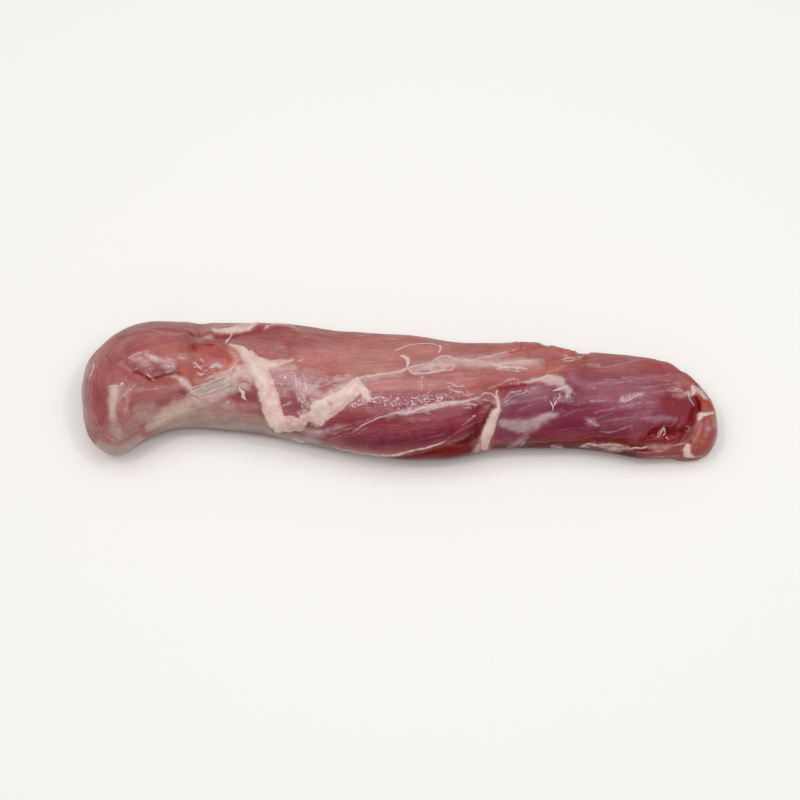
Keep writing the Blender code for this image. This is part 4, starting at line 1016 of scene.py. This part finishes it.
def shownShare(space, tree, layer, ragged=0):
    # how strongly a layer shows at each point, where each of its strokes starts with its own weight
    shown = np.zeros(len(space))
    for weight, *stroke in layer["strokes"].values():
        share = insideShare(strokeDepth(space, tree, stroke) + ragged, layer["edgeMm"])
        shown = np.maximum(shown, weight * share)
    return shown


def unseenShare(around, layer):
    shown = np.zeros(len(around))
    for weight, *stroke in unseen[layer]:
        share = insideShare(roundDepth(around, stroke), unseen["edgeMm"][layer])
        shown = np.maximum(shown, weight * share)
    return shown


def warped(points, waves):
    # the picture's space with each place moved a little to and fro, so that no edge runs straight
    space = intoPicture(points)
    for cell, reach, start in waves:
        for axis in range(2):
            space[:, axis] += reach * noiseOver(points, cell, start + starts["down"] * axis)
    return space


# Muscle fibres run along the meat and curve round the end of the head
grain = {
    "spineStepMm": 4,
    "girthRadiusMm": 30,
    "headMiddleMm": (-126, 2),
    "headRadiusMm": 22,
    "headBlendMm": (-132, -146),
    "driftMm": ((-60, 0), (-20, 3), (30, 14), (50, 20), (80, 31), (165, 62)),    # x, and how far they turn
}


def grainOver(points):
    # along and across the fibres in mm, for the body and for the head's end, how much is head, and
    # where each point lies along and round the meat
    x, y, z = points.T
    stations = np.arange(x.min(), x.max(), grain["spineStepMm"])
    bins = np.clip(np.digitize(x, stations) - 1, 0, len(stations) - 1)
    middles = np.array([
        [(y[bins == i].max() + y[bins == i].min()) / 2, z[bins == i].max() / 2] for i in range(len(stations))
    ])
    centreY, centreZ = [np.interp(x, stations + grain["spineStepMm"] / 2, middle) for middle in middles.T]
    girth = np.arctan2(y - centreY, z - centreZ) * grain["girthRadiusMm"]
    drift = np.interp(x, *np.array(grain["driftMm"], dtype=float).T)
    body = np.stack([x, girth - drift, np.zeros_like(x)], axis=1)
    headX, headY = grain["headMiddleMm"]
    turn = np.arctan2(y - headY, x - headX) * grain["headRadiusMm"]
    outward = np.hypot(x - headX, y - headY) - z
    head = np.stack([turn, outward, np.zeros_like(x)], axis=1)
    return body, head, softStep(*grain["headBlendMm"], x), np.stack([x, girth], axis=1)


# Relief of the bare muscle: bundles of fibres a few millimetres wide, with finer ones on them
fibres = {
    "bundleAlongMm": 34, "bundleAcrossMm": 4.6, "bundleHeightMm": 0.20,
    "fineAlongMm": 18, "fineAcrossMm": 1.9, "fineHeightMm": 0.06,
    "undulationMm": 15, "undulationHeightMm": 0.35,
    "underFat": 0.35,        # how much of it shows through the fat
    "lossUnderSilver": 0.6,
}


def fibreRelief(points, body, head, headness):
    height = fibres["undulationHeightMm"] * noiseOver(points, fibres["undulationMm"])
    for size in ("bundle", "fine"):
        along, across = fibres[size + "AlongMm"], fibres[size + "AcrossMm"]
        ofBody, ofHead = [
            noiseOver(place, across, starts[size], (along / across, 1, 1)) for place in (body, head)
        ]
        height += fibres[size + "HeightMm"] * (ofBody + (ofHead - ofBody) * headness)
    return height


def refineSkin(mesh, tree):
    # finer faces where the camera sees the meat, and finer still along thin lines and edges
    halveFaces(mesh, readFaces(mesh, "normal") @ np.array(toCamera) > skin["seenAbove"])
    space = warped(readFaces(mesh, "center") * mmPerMetre, warp)
    fine = np.abs(deepest(space, tree, fat)) < skin["fineReachMm"]
    for layer in (lines, clefts):
        for weight, *stroke in layer["strokes"].values():
            if weight >= skin["fineFrom"]:
                fine |= strokeDepth(space, tree, stroke) > -skin["fineReachMm"]
    halveFaces(mesh, fine)


def hiddenShare(girth):
    # where the back and the underside set in
    toBack, toFront = [
        softStep(start, start + unseen["blendMm"], way)
        for start, way in ((unseen["backMm"], girth), (unseen["frontMm"], -girth))
    ]
    return np.maximum(toBack, toFront)


def raggedOver(points):
    # how far the edges of the layers wander in and out, in mm
    fineCell = fat["raggedCellMm"] / fat["fineRaggedTimes"]
    fine = fat["fineRaggedShare"] * noiseOver(points, fineCell, starts["fineRagged"])
    return fat["raggedMm"] * (noiseOver(points, fat["raggedCellMm"], starts["ragged"]) + fine)


def layersOver(points, space, around, hidden, tree):
    # how strongly each layer shows at each point, with the clefts' painted shade, how deep it lies in fat,
    # and how far clefts sink it
    ragged = raggedOver(points)
    backFat = deepestUnseen(around, "fat") - unseen["fatFadeMm"] * (1 - hidden)
    fatDepth = np.maximum(deepest(space, tree, fat), backFat) + ragged

    silverRagged = silverskin["raggedTimes"] * ragged
    silver = insideShare(deepest(space, tree, silverskin) + silverRagged, silverskin["edgeMm"])
    # the sheet thins near the floor, so the flesh under it shows darker there: painted shade
    raised = softStep(*silverskin["fadeMm"], points[:, 2])
    silver *= silverskin["lowShare"] + (1 - silverskin["lowShare"]) * raised
    sheets = insideShare(deepestUnseen(around, "silverskin") + silverRagged, unseen["edgeMm"]["silverskin"])
    silver = np.maximum(silver, hidden * sheets)

    # painted shade in the clefts: the deeper a cleft sinks, the darker its crimson
    cleft = np.zeros(len(points))
    sink = np.zeros(len(points))
    for deep, *stroke in clefts["strokes"].values():
        depth = strokeDepth(space, tree, stroke) + clefts["raggedTimes"] * ragged
        share = insideShare(depth, clefts["edgeMm"])
        cleft = np.maximum(cleft, share * min(1, clefts["paintedShade"] + deep / clefts["paintedShadeMm"]))
        sink = np.maximum(sink, share * deep)

    wispy = shownShare(space, tree, film, film["raggedTimes"] * ragged)
    wispy = np.maximum(wispy, hidden * unseenShare(around, "film"))
    cloudy = fat["haloBase"] + fat["haloSwing"] * noiseOver(points, fat["lumpCellMm"], starts["halo"])
    halo = np.clip(softStep(*fat["haloMm"], fatDepth + ragged) * cloudy, 0, 1)
    wispy = np.maximum(wispy, fat["haloShare"] * halo) * (1 - film["lossInClefts"] * cleft)

    thin = shownShare(warped(points, warp[:1]), tree, lines, lines["raggedTimes"] * ragged - lines["slimMm"])
    breaks = lines["breakBase"] + lines["breakSwing"] * noiseOver(points, lines["breakMm"], starts["breaks"])
    thin = np.maximum(thin, hidden * unseenShare(around, "lines")) * np.clip(breaks, lines["faintest"], 1)
    return {
        "fatDepth": fatDepth,
        "blush": shownShare(space, tree, blush, blush["raggedTimes"] * ragged),
        "silver": silver,
        "film": wispy,
        "thinLine": thin,
        "wet": shownShare(space, tree, ripples),
        "cleft": cleft,
    }, sink


def layerRelief(points, shown):
    # how far the layers raise the skin, in mm
    fatDome = np.sqrt(np.clip(shown["fatDepth"] / fat["edgeMm"], 0, 1))
    lumps = fat["lumpMm"] * noiseOver(points, fat["lumpCellMm"], starts["lumps"])
    lumps += fat["fineLumpMm"] * noiseOver(points, fat["fineLumpCellMm"], starts["fineLumps"])
    height = fatDome * (fat["thicknessMm"] + lumps)
    for layer, name in ((silverskin, "silver"), (film, "film"), (lines, "thinLine")):
        height += layer["raiseMm"] * shown[name]
    waves = noiseOver(points, ripples["cellMm"], starts["ripples"])
    return height + ripples["heightMm"] * shown["wet"] * waves


def formRelief(space, tree):
    height = np.zeros(len(space))
    for rise, soft, *stroke in forms.values():
        height += rise * insideShare(strokeDepth(space, tree, stroke), 2 * soft * mmPerPx)
    return height


def fleshColour(hexColour):
    # the flesh's own colour, from how it looks in the light
    seen = np.array(linear(hexColour)[:3])
    return [*np.clip((seen - tones["sheen"]) / tones["light"], tones["darkest"], 1), 1.0]


def paintOver(tone, colour, share):
    tone += (np.array(fleshColour(colour)) - tone) * share[:, None]


def paintTones(space, around, hidden, tree):
    tone = np.tile(fleshColour(tones["base"]), (len(space), 1))
    for colour, soft, *stroke in tones["patches"].values():
        paintOver(tone, colour, insideShare(strokeDepth(space, tree, stroke), 2 * soft * mmPerPx))
    for colour, soft, *stroke in unseen["tones"]:
        paintOver(tone, colour, hidden * insideShare(roundDepth(around, stroke), 2 * soft))
    return tone


def setValues(mesh, name, kind, values):
    layer = mesh.attributes.new(name, kind, "POINT")
    field = {"FLOAT": "value", "FLOAT_VECTOR": "vector", "FLOAT_COLOR": "color"}[kind]
    layer.data.foreach_set(field, np.ascontiguousarray(values, dtype=np.float32).ravel())


def dressSkin(meat, tree):
    # raises the layers out of the skin, and leaves on it what the material is mixed from
    mesh = meat.data
    points = readPoints(mesh) * mmPerMetre
    space = warped(points, warp)
    body, head, headness, around = grainOver(points)
    around += sum(
        reach * np.stack([noiseOver(points, cell, start) for start in both], axis=1)
        for cell, reach, both in unseen["wobbles"]
    )
    hidden = hiddenShare(around[:, 1])
    shown, sink = layersOver(points, space, around, hidden, tree)
    bare = 1 - softStep(*fat["bareMm"], shown["fatDepth"])
    height = fibreRelief(points, body, head, headness)
    height *= fibres["underFat"] + (1 - fibres["underFat"]) * bare
    height *= 1 - fibres["lossUnderSilver"] * shown["silver"]
    height += layerRelief(points, shown) + formRelief(space, tree) - sink
    height *= softStep(0.0, skin["restingMm"], points[:, 2])
    raised = points + readPoints(mesh, "normal") * height[:, None]
    raised[:, 2] = np.maximum(raised[:, 2], 0.0)
    writePoints(mesh, raised / mmPerMetre)

    gloss = rawPork["coatWeight"] + (rawPork["wetCoatWeight"] - rawPork["coatWeight"]) * shown["wet"]
    offFloor = softStep(*rawPork["floorFadeMm"], raised[:, 2])
    gloss *= rawPork["floorGloss"] + (1 - rawPork["floorGloss"]) * offFloor
    gloss *= (1 - rawPork["glossLossInClefts"] * shown["cleft"]) * (1 - shownShare(space, tree, dull))
    shown["fatDepth"] = np.clip(shown["fatDepth"], *fat["keptMm"])
    for name, values in {**shown, "headness": headness, "gloss": gloss}.items():
        setValues(mesh, name, "FLOAT", values)
    setValues(mesh, "tone", "FLOAT_COLOR", paintTones(space, around, hidden, tree))
    setValues(mesh, "bodyGrain", "FLOAT_VECTOR", body)
    setValues(mesh, "headGrain", "FLOAT_VECTOR", head)


def addNode(tree, kind, links=None, **settings):
    # one node with its settings; links holds a plain value or another node's output for each input
    made = tree.nodes.new(kind)
    for name, value in settings.items():
        setattr(made, name, value)
    for name, value in (links or {}).items():
        if isinstance(value, bpy.types.NodeSocket):
            tree.links.new(value, made.inputs[name])
        else:
            made.inputs[name].default_value = value
    return made


def makeMaterial(name, sockets):
    material = bpy.data.materials.new(name)
    material.use_nodes = True
    surface = material.node_tree.nodes["Principled BSDF"]
    for socket, value in sockets.items():
        surface.inputs[socket].default_value = value
    return material, material.node_tree, surface


# Raw pork: skinned with a knife, so the fibres lie bare under a film of water and meat juice.
# The eye gets soft red depth from light that enters the flesh, and small sharp glints on top.
# Some of those glints are pale curls painted into the colour: painted highlights
rawPork = {
    # long and wide cells of the noises that run with the fibres, in mm
    "streaks": {"fibre": (24, 1.6), "thread": (9, 0.55), "crease": (9, 2.6), "sinew": (13, 0.75)},
    "streakDetail": 3,
    "streakRoughness": 0.6,
    # cells of the even noises in mm, their detail and their roughness
    "clouds": {
        "mottle": (7, 4, 0.55),
        "grit": (0.9, 3, 0.6),
        "blotch": (6, 3, 0.6),
        "cloud": (3.4, 3, 0.5),
        "curlBreak": (1.3, 1, 0.5),
        "fatMottle": (4.5, 3, 0.6),
        "ripple": (2.0, 2, 0.5),
    },
    "curlMm": 1.8,
    "curlDetail": 1,
    "curlRoughness": 0.5,
    "curlDistortion": 0.6,
    "curlStretch": (0.5, 1, 1),
    # How the noises and the layers stored on the skin are worked into shares. Each row names what it
    # gives, how, and from what. LINEAR and SMOOTHSTEP turn one span of values into another
    "mixing": (
        ("both", "ADD", "fibre", "thread"),
        ("light", "LINEAR", "both", 0.7, 1.3, 0.82, 1.18),            # streaks of the muscle
        ("mottled", "LINEAR", "mottle", 0.3, 0.7, 0.88, 1.1),
        ("speckled", "LINEAR", "grit", 0.3, 0.7, 0.9, 1.1),
        ("light", "MULTIPLY", "light", "mottled"),
        ("light", "MULTIPLY", "light", "speckled"),
        ("hue", "LINEAR", "blotch", 0.3, 0.7, 0.492, 0.508),
        ("veil", "MULTIPLY_ADD", "both", 0.45, "cloud"),              # film drawn out along the grain
        ("wisps", "LINEAR", "veil", 0.74, 1.08, 0.3, 1),
        ("offMiddle", "SUBTRACT", "crease", 0.5),                     # creases, where a noise turns over
        ("offMiddle", "ABSOLUTE", "offMiddle"),
        ("creased", "LINEAR", "offMiddle", 0, 0.045, 1, 0),
        ("creased", "MULTIPLY", "creased", "cloud"),
        ("wisps", "MULTIPLY_ADD", "creased", 0.5, "wisps"),
        ("wisps", "LINEAR", "wisps", 0, 1, 0, 1),
        ("sinewy", "LINEAR", "sinew", 0.6, 0.69, 0, 1),               # white threads, most in the film
        ("sinewPart", "MULTIPLY_ADD", "film", 0.8, 0.15),
        ("sinewy", "MULTIPLY", "sinewy", "sinewPart"),
        ("filmShare", "MULTIPLY_ADD", "film", "wisps", "sinewy"),
        ("filmShare", "LINEAR", "filmShare", 0, 1, 0, 1),
        ("silverShare", "LINEAR", "cloud", 0.3, 0.65, 0.55, 0.86),
        ("silverShare", "MULTIPLY", "silverShare", "silver"),
        ("curlOff", "SUBTRACT", "curl", 0.5),                         # short pale curls in the ripples, painted glints
        ("curlOff", "ABSOLUTE", "curlOff"),
        ("paintedGlintShare", "LINEAR", "curlOff", 0.015, 0.055, 1, 0),
        ("broken", "LINEAR", "curlBreak", 0.47, 0.56, 0, 1),
        ("paintedGlintShare", "MULTIPLY", "paintedGlintShare", "broken"),
        # a few painted glints scattered beyond the ripples
        ("strayPaintedGlints", "LINEAR", "blotch", 0.58, 0.72, 0, 0.15),
        ("curlPlace", "MAXIMUM", "strayPaintedGlints", "wet"),
        ("paintedGlintShare", "MULTIPLY", "paintedGlintShare", "curlPlace"),
        ("frayed", "MULTIPLY_ADD", "grit", 0.6, "fatDepth"),          # fat, frayed over the muscle
        ("fatShare", "SMOOTHSTEP", "frayed", -0.2, 0.9, 0, 1),
        ("pinker", "LINEAR", "fatMottle", 0.35, 0.68, 0, 1),
        ("softened", "MULTIPLY", "both", 0.5),                        # relief too fine for the mesh
        ("rippled", "MULTIPLY", "ripple", "wet"),
        ("wetHeight", "MULTIPLY_ADD", "softened", 0.35, "rippled"),
    ),
    # the crimson painted into the clefts as shade
    "cleftShadeColour": "8c1024",
    "filmColour": "dcbfbd",
    "silverColour": "ad9a91",
    "lineColour": "e6cbc8",
    # pale curls painted into the colour as glints
    "paintedGlintColour": "eed7dc",
    "creamFat": "e8d0c4",
    "pinkFat": "dcb8b2",
    "blushColour": "c3877e",
    "bumpMm": 0.22, "bumpStrength": 0.6,
    "rippleBumpMm": 0.36, "rippleBumpStrength": 0.7,
    "coatWeight": 0.55,
    "wetCoatWeight": 0.85,
    "floorGloss": 0.04,      # share of the shine that is left near the floor
    "floorFadeMm": (10, 28),
    "glossLossInClefts": 0.8,
    "sockets": {
        "Roughness": 0.42,
        "IOR": 1.40,
        "Specular IOR Level": 0.12,      # low, as the coat gives the shine
        "Coat Roughness": 0.10,
        "Coat IOR": 1.38,
        "Subsurface Weight": 0.30,
        "Subsurface Radius": (1.0, 0.32, 0.22),
        "Subsurface Scale": 0.0013,
    },
}


def makeRawPork():
    look = rawPork
    material, tree, surface = makeMaterial("wet raw pork", look["sockets"])
    shares = {
        name: addNode(tree, "ShaderNodeAttribute", attribute_name=name).outputs["Fac"]
        for name in ("cleft", "film", "silver", "thinLine", "wet", "fatDepth", "blush", "gloss", "headness")
    }
    tone = addNode(tree, "ShaderNodeAttribute", attribute_name="tone").outputs["Color"]
    grainPlaces = [
        addNode(tree, "ShaderNodeAttribute", attribute_name=name).outputs["Vector"]
        for name in ("bodyGrain", "headGrain")
    ]
    for name, (longMm, wideMm) in look["streaks"].items():
        found = []
        for grainPlace in grainPlaces:
            cells = addNode(tree, "ShaderNodeVectorMath", {
                0: grainPlace, 1: (1 / longMm, 1 / wideMm, 1)}, operation="MULTIPLY").outputs[0]
            found.append(addNode(tree, "ShaderNodeTexNoise", {
                "Vector": cells, "Scale": 1.0, "Detail": look["streakDetail"],
                "Roughness": look["streakRoughness"]}).outputs["Fac"])
        blend = {0: shares["headness"], 2: found[0], 3: found[1]}
        shares[name] = addNode(tree, "ShaderNodeMix", blend).outputs[0]

    place = addNode(tree, "ShaderNodeTexCoord").outputs["Object"]
    placeMm, curlPlace = [
        addNode(tree, "ShaderNodeVectorMath", {
            0: place, 1: [mmPerMetre * share for share in stretch]}, operation="MULTIPLY").outputs[0]
        for stretch in ((1, 1, 1), look["curlStretch"])
    ]
    for name, (cellMm, detail, rough) in look["clouds"].items():
        shares[name] = addNode(tree, "ShaderNodeTexNoise", {
            "Vector": placeMm, "Scale": 1 / cellMm, "Detail": detail, "Roughness": rough}).outputs["Fac"]
    shares["curl"] = addNode(tree, "ShaderNodeTexNoise", {
        "Vector": curlPlace, "Scale": 1 / look["curlMm"], "Detail": look["curlDetail"],
        "Roughness": look["curlRoughness"], "Distortion": look["curlDistortion"]}).outputs["Fac"]

    for name, how, *given in look["mixing"]:
        inputs = dict(enumerate(shares.get(one, one) for one in given))
        if how in ("LINEAR", "SMOOTHSTEP"):
            made = addNode(tree, "ShaderNodeMapRange", inputs, interpolation_type=how)
        else:
            made = addNode(tree, "ShaderNodeMath", inputs, operation=how)
        shares[name] = made.outputs[0]

    muscle = addNode(tree, "ShaderNodeHueSaturation", {
        "Hue": shares["hue"], "Value": shares["light"], "Color": tone}).outputs[0]
    silver = addNode(tree, "ShaderNodeHueSaturation", {
        "Value": shares["mottled"], "Color": fleshColour(look["silverColour"])}).outputs[0]
    fatColour = fleshColour(look["creamFat"])
    for share, over in ((shares["pinker"], look["pinkFat"]), (shares["blush"], look["blushColour"])):
        fatColour = addNode(tree, "ShaderNodeMix", {
            0: share, 6: fatColour, 7: fleshColour(over)}, data_type="RGBA").outputs[2]
    colour = muscle
    for share, over in (
        # painted shade in the clefts
        ("cleft", fleshColour(look["cleftShadeColour"])),
        ("filmShare", fleshColour(look["filmColour"])),
        ("silverShare", silver),
        ("thinLine", fleshColour(look["lineColour"])),
        # painted glints in the ripples
        ("paintedGlintShare", fleshColour(look["paintedGlintColour"])),
        ("fatShare", fatColour),
    ):
        colour = addNode(tree, "ShaderNodeMix", {
            0: shares[share], 6: colour, 7: over}, data_type="RGBA").outputs[2]
    relief = addNode(tree, "ShaderNodeMix", {
        0: shares["fatShare"], 2: shares["softened"], 3: shares["grit"]}).outputs[0]
    bump = addNode(tree, "ShaderNodeBump", {
        "Strength": look["bumpStrength"], "Distance": look["bumpMm"] / mmPerMetre,
        "Height": relief}).outputs[0]
    coatBump = addNode(tree, "ShaderNodeBump", {
        "Strength": look["rippleBumpStrength"], "Distance": look["rippleBumpMm"] / mmPerMetre,
        "Height": shares["wetHeight"]}).outputs[0]
    for socket, made in (
        ("Base Color", colour), ("Normal", bump), ("Coat Normal", coatBump), ("Coat Weight", shares["gloss"]),
    ):
        tree.links.new(made, surface.inputs[socket])
    return material


# Strings of fat and tendon that stand on the surface, each a thin tapered strand. Raw fat is wet and
# slightly clear at the edges, so it scatters light more than the flesh
# The cores of the glint lines, the wet edge in the cleft and the loop in the pocket are pale strands
# that stand for wet glints: painted highlights
strings = {
    "stepMm": 0.5,
    "leastSteps": 4,
    "sides": 8,
    "flatness": 0.6,
    "liftShare": 0.25,
    "taperSteps": 3,
    "tipSteps": 0.3,
    "coreFrom": 0.65,        # lines at least this white get a fine strand as their core
    "coreShare": 0.5,
    "coreLeastPx": 0.3,
    "coreBase": 0.75,
    "coreSwing": 0.8,
    "coreThinnest": 0.1,
    "colour": "ead2c8",
    "pinkColour": "d8b0aa",
    "patchMm": 2.5,
    "patchDetail": 3,
    "sockets": {
        "Roughness": 0.4,
        "Coat Weight": 0.6,
        "Coat Roughness": 0.12,
        "Subsurface Weight": 0.4,
        "Subsurface Radius": (1.0, 0.6, 0.45),
        "Subsurface Scale": 0.0015,
    },
}
strings["strokes"] = {
    # painted highlight: a pale strand where the cleft glints
    "wet edge in the cleft": ((146.6, 373, 0.5), (149.6, 376.4, 0.9), (153, 378.2, 0.5)),
    "hook": ((399, 356, 1.1), (403, 356.6, 2), (407.3, 359.3, 2.6), (408.3, 363, 2.1), (406.3, 368, 0.8)),
    "thin arc": ((394, 351, 0.8), (400, 348.7, 0.5), (408, 345.5, 0.5), (418, 343.7, 0.45),
        (430, 343.5, 0.5), (437, 344.7, 0.9)),
    "hook of the arc": ((437, 344.7, 0.9), (440.8, 347, 1.3), (440, 351, 1.2), (437, 354, 0.7)),
    "far string": ((231, 331.6, 1.2), (231.8, 335, 0.9), (230, 338, 0.8), (227.8, 340.4, 1.7),
        (225, 343.6, 1.4)),
    "hook in the film": ((238.6, 386, 0.8), (240, 390, 1.5), (243.4, 392.4, 2.3), (243.2, 396.6, 2.2),
        (246.6, 400.6, 0.8)),
    "head end": ((94.5, 364, 0.7), (93, 369, 0.6), (90.5, 376, 0.5), (88.5, 381, 0.4)),
    "left of the v": ((549.5, 400.5, 0.5), (551.5, 404, 0.6), (553, 407, 0.7), (552.8, 412, 0.4)),
    "right of the v": ((557.5, 399, 0.4), (555.5, 402.5, 0.6), (553, 407, 0.7)),
    "curl of the flap": ((552, 391, 0.7), (558, 389.7, 1), (564, 387, 1), (568.5, 384.8, 0.7)),
    "node of the band": ((495.5, 392.5, 0.9), (498, 390, 1.4)),
    # painted highlight: a pale strand where the pocket glints in a loop
    "loop in the pocket": ((659, 437.5, 0.4), (661, 432.5, 0.6), (664, 427.5, 0.8), (665.5, 433, 0.4),
        (662, 437, 0.4)),
}


def routeAlong(stroke):
    # even steps along a stroke: x, y and half its width, in px
    marks = np.array(stroke, dtype=float)
    walked = np.concatenate([[0], np.cumsum(np.hypot(*np.diff(marks[:, :2], axis=0).T))])
    count = max(strings["leastSteps"], int(walked[-1] * mmPerPx / strings["stepMm"]))
    spots = np.linspace(0, walked[-1], count)
    return [np.interp(spots, walked, marks[:, column]) for column in range(3)]


def moveToLine(tree, route):
    # moves a strand to where its line shows on the skin, and thins it where the line fades
    spots = np.array([onMeat(tree, x, y)[0] for x, y in zip(*route[:2])]) * mmPerMetre
    cell, reach, start = warp[0]
    for axis in range(2):
        wave = noiseOver(spots, cell, start + starts["down"] * axis)
        route[axis] = route[axis] - reach / mmPerPx * wave
    whole = strings["coreBase"] + strings["coreSwing"] * noiseOver(spots, lines["breakMm"], starts["breaks"])
    half = np.maximum(strings["coreLeastPx"], route[2] * strings["coreShare"])
    route[2] = half * np.clip(whole, strings["coreThinnest"], 1)


def addStrand(body, tree, route):
    landed = [onMeat(tree, x, y) for x, y in zip(*route[:2])]
    last = len(landed) - 1
    sides = strings["sides"]
    circle = [(math.cos(turn), math.sin(turn)) for turn in np.linspace(0, 2 * math.pi, sides, endpoint=False)]
    rings = []
    for i, (place, normal) in enumerate(landed):
        ahead = (landed[min(i + 1, last)][0] - landed[max(i - 1, 0)][0]).normalized()
        across = ahead.cross(normal).normalized()
        up = across.cross(ahead).normalized()
        taper = min(1, (min(i, last - i) + strings["tipSteps"]) / strings["taperSteps"])
        half = route[2][i] * mmPerPx / mmPerMetre * taper
        middle = place + up * half * strings["liftShare"]
        wide, high = across * half, up * half * strings["flatness"]
        rings.append([body.verts.new(middle + wide * right + high * upward) for right, upward in circle])
    for one, following in zip(rings, rings[1:]):
        for i in range(sides):
            j = (i + 1) % sides
            body.faces.new((one[i], one[j], following[j], following[i]))
    body.faces.new(rings[0])
    body.faces.new(rings[-1][::-1])


def makeStrings(tree):
    body = bmesh.new()
    for stroke in strings["strokes"].values():
        addStrand(body, tree, routeAlong(stroke))
    for weight, *stroke in lines["strokes"].values():
        if weight >= strings["coreFrom"]:
            route = routeAlong(stroke)
            moveToLine(tree, route)
            addStrand(body, tree, route)
    bmesh.ops.recalc_face_normals(body, faces=body.faces)
    mesh = bpy.data.meshes.new("fatAndGlintStrings")
    body.to_mesh(mesh)
    body.free()
    mesh.shade_smooth()
    return addObject("fatAndGlintStrings", mesh)


def makeStrandFatAndGlints():
    material, tree, surface = makeMaterial("wet pork fat and painted glints", strings["sockets"])
    place = addNode(tree, "ShaderNodeTexCoord").outputs["Object"]
    patchy = addNode(tree, "ShaderNodeTexNoise", {
        "Vector": place, "Scale": mmPerMetre / strings["patchMm"],
        "Detail": strings["patchDetail"]}).outputs["Fac"]
    cream, pink = fleshColour(strings["colour"]), fleshColour(strings["pinkColour"])
    colour = addNode(tree, "ShaderNodeMix", {0: patchy, 6: cream, 7: pink}, data_type="RGBA").outputs[2]
    tree.links.new(colour, surface.inputs["Base Color"])
    return material


# Plain pale floor and soft studio light: a big panel overhead towards the far side, and three small
# ones for the glints
studio = {
    "floorColour": "ebe9e6",
    "floorRoughness": 0.85,
    "floorSize": 6,
    "worldColour": "ffffff",
    "worldStrength": 0.34,
    "panels": {
        "overhead": {"at": (0.0, 0.05, 1.40), "size": (2.0, 1.1), "watts": 16.4},
        "left glints": {"at": (-0.30, -0.05, 1.15), "size": (0.07, 0.07), "watts": 1.3},
        "middle glints": {"at": (0.05, -0.22, 1.20), "size": (0.06, 0.06), "watts": 0.6},
        "right glints": {"at": (0.43, 0.00, 1.15), "size": (0.07, 0.07), "watts": 1.3},
    },
}


def makeStudio():
    bpy.ops.mesh.primitive_plane_add(size=studio["floorSize"])
    floor = bpy.context.object
    floor.name = "floor"
    paper = {"Base Color": linear(studio["floorColour"]), "Roughness": studio["floorRoughness"]}
    floor.data.materials.append(makeMaterial("pale paper", paper)[0])
    world = bpy.data.worlds.new("studio")
    world.use_nodes = True
    background = world.node_tree.nodes["Background"]
    background.inputs["Color"].default_value = linear(studio["worldColour"])
    background.inputs["Strength"].default_value = studio["worldStrength"]
    bpy.context.scene.world = world
    for name, panel in studio["panels"].items():
        lamp = bpy.data.lights.new(name, "AREA")
        lamp.shape = "RECTANGLE"
        lamp.size, lamp.size_y = panel["size"]
        lamp.energy = panel["watts"]
        holder = addObject(name, lamp)
        holder.location = panel["at"]
        holder.rotation_euler = (aimPoint - holder.location).to_track_quat("-Z", "Y").to_euler()
    bpy.context.scene.view_settings.view_transform = "Standard"


placeCamera()
print("camera placed")

meat = remeshedMeat()
smoothTree = treeOf(meat.data)
refineSkin(meat.data, smoothTree)
print("skin remeshed:", sum(len(face.vertices) - 2 for face in meat.data.polygons), "triangles")
dressSkin(meat, smoothTree)
meat.data.materials.clear()
meat.data.materials.append(makeRawPork())
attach(meat, "root")
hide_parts("tenderloin")
print("skin dressed")

fatAndGlintStrings = makeStrings(treeOf(meat.data))
fatAndGlintStrings.data.materials.append(makeStrandFatAndGlints())
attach(fatAndGlintStrings, "root")
print("strings laid")

makeStudio()
print("studio lit")
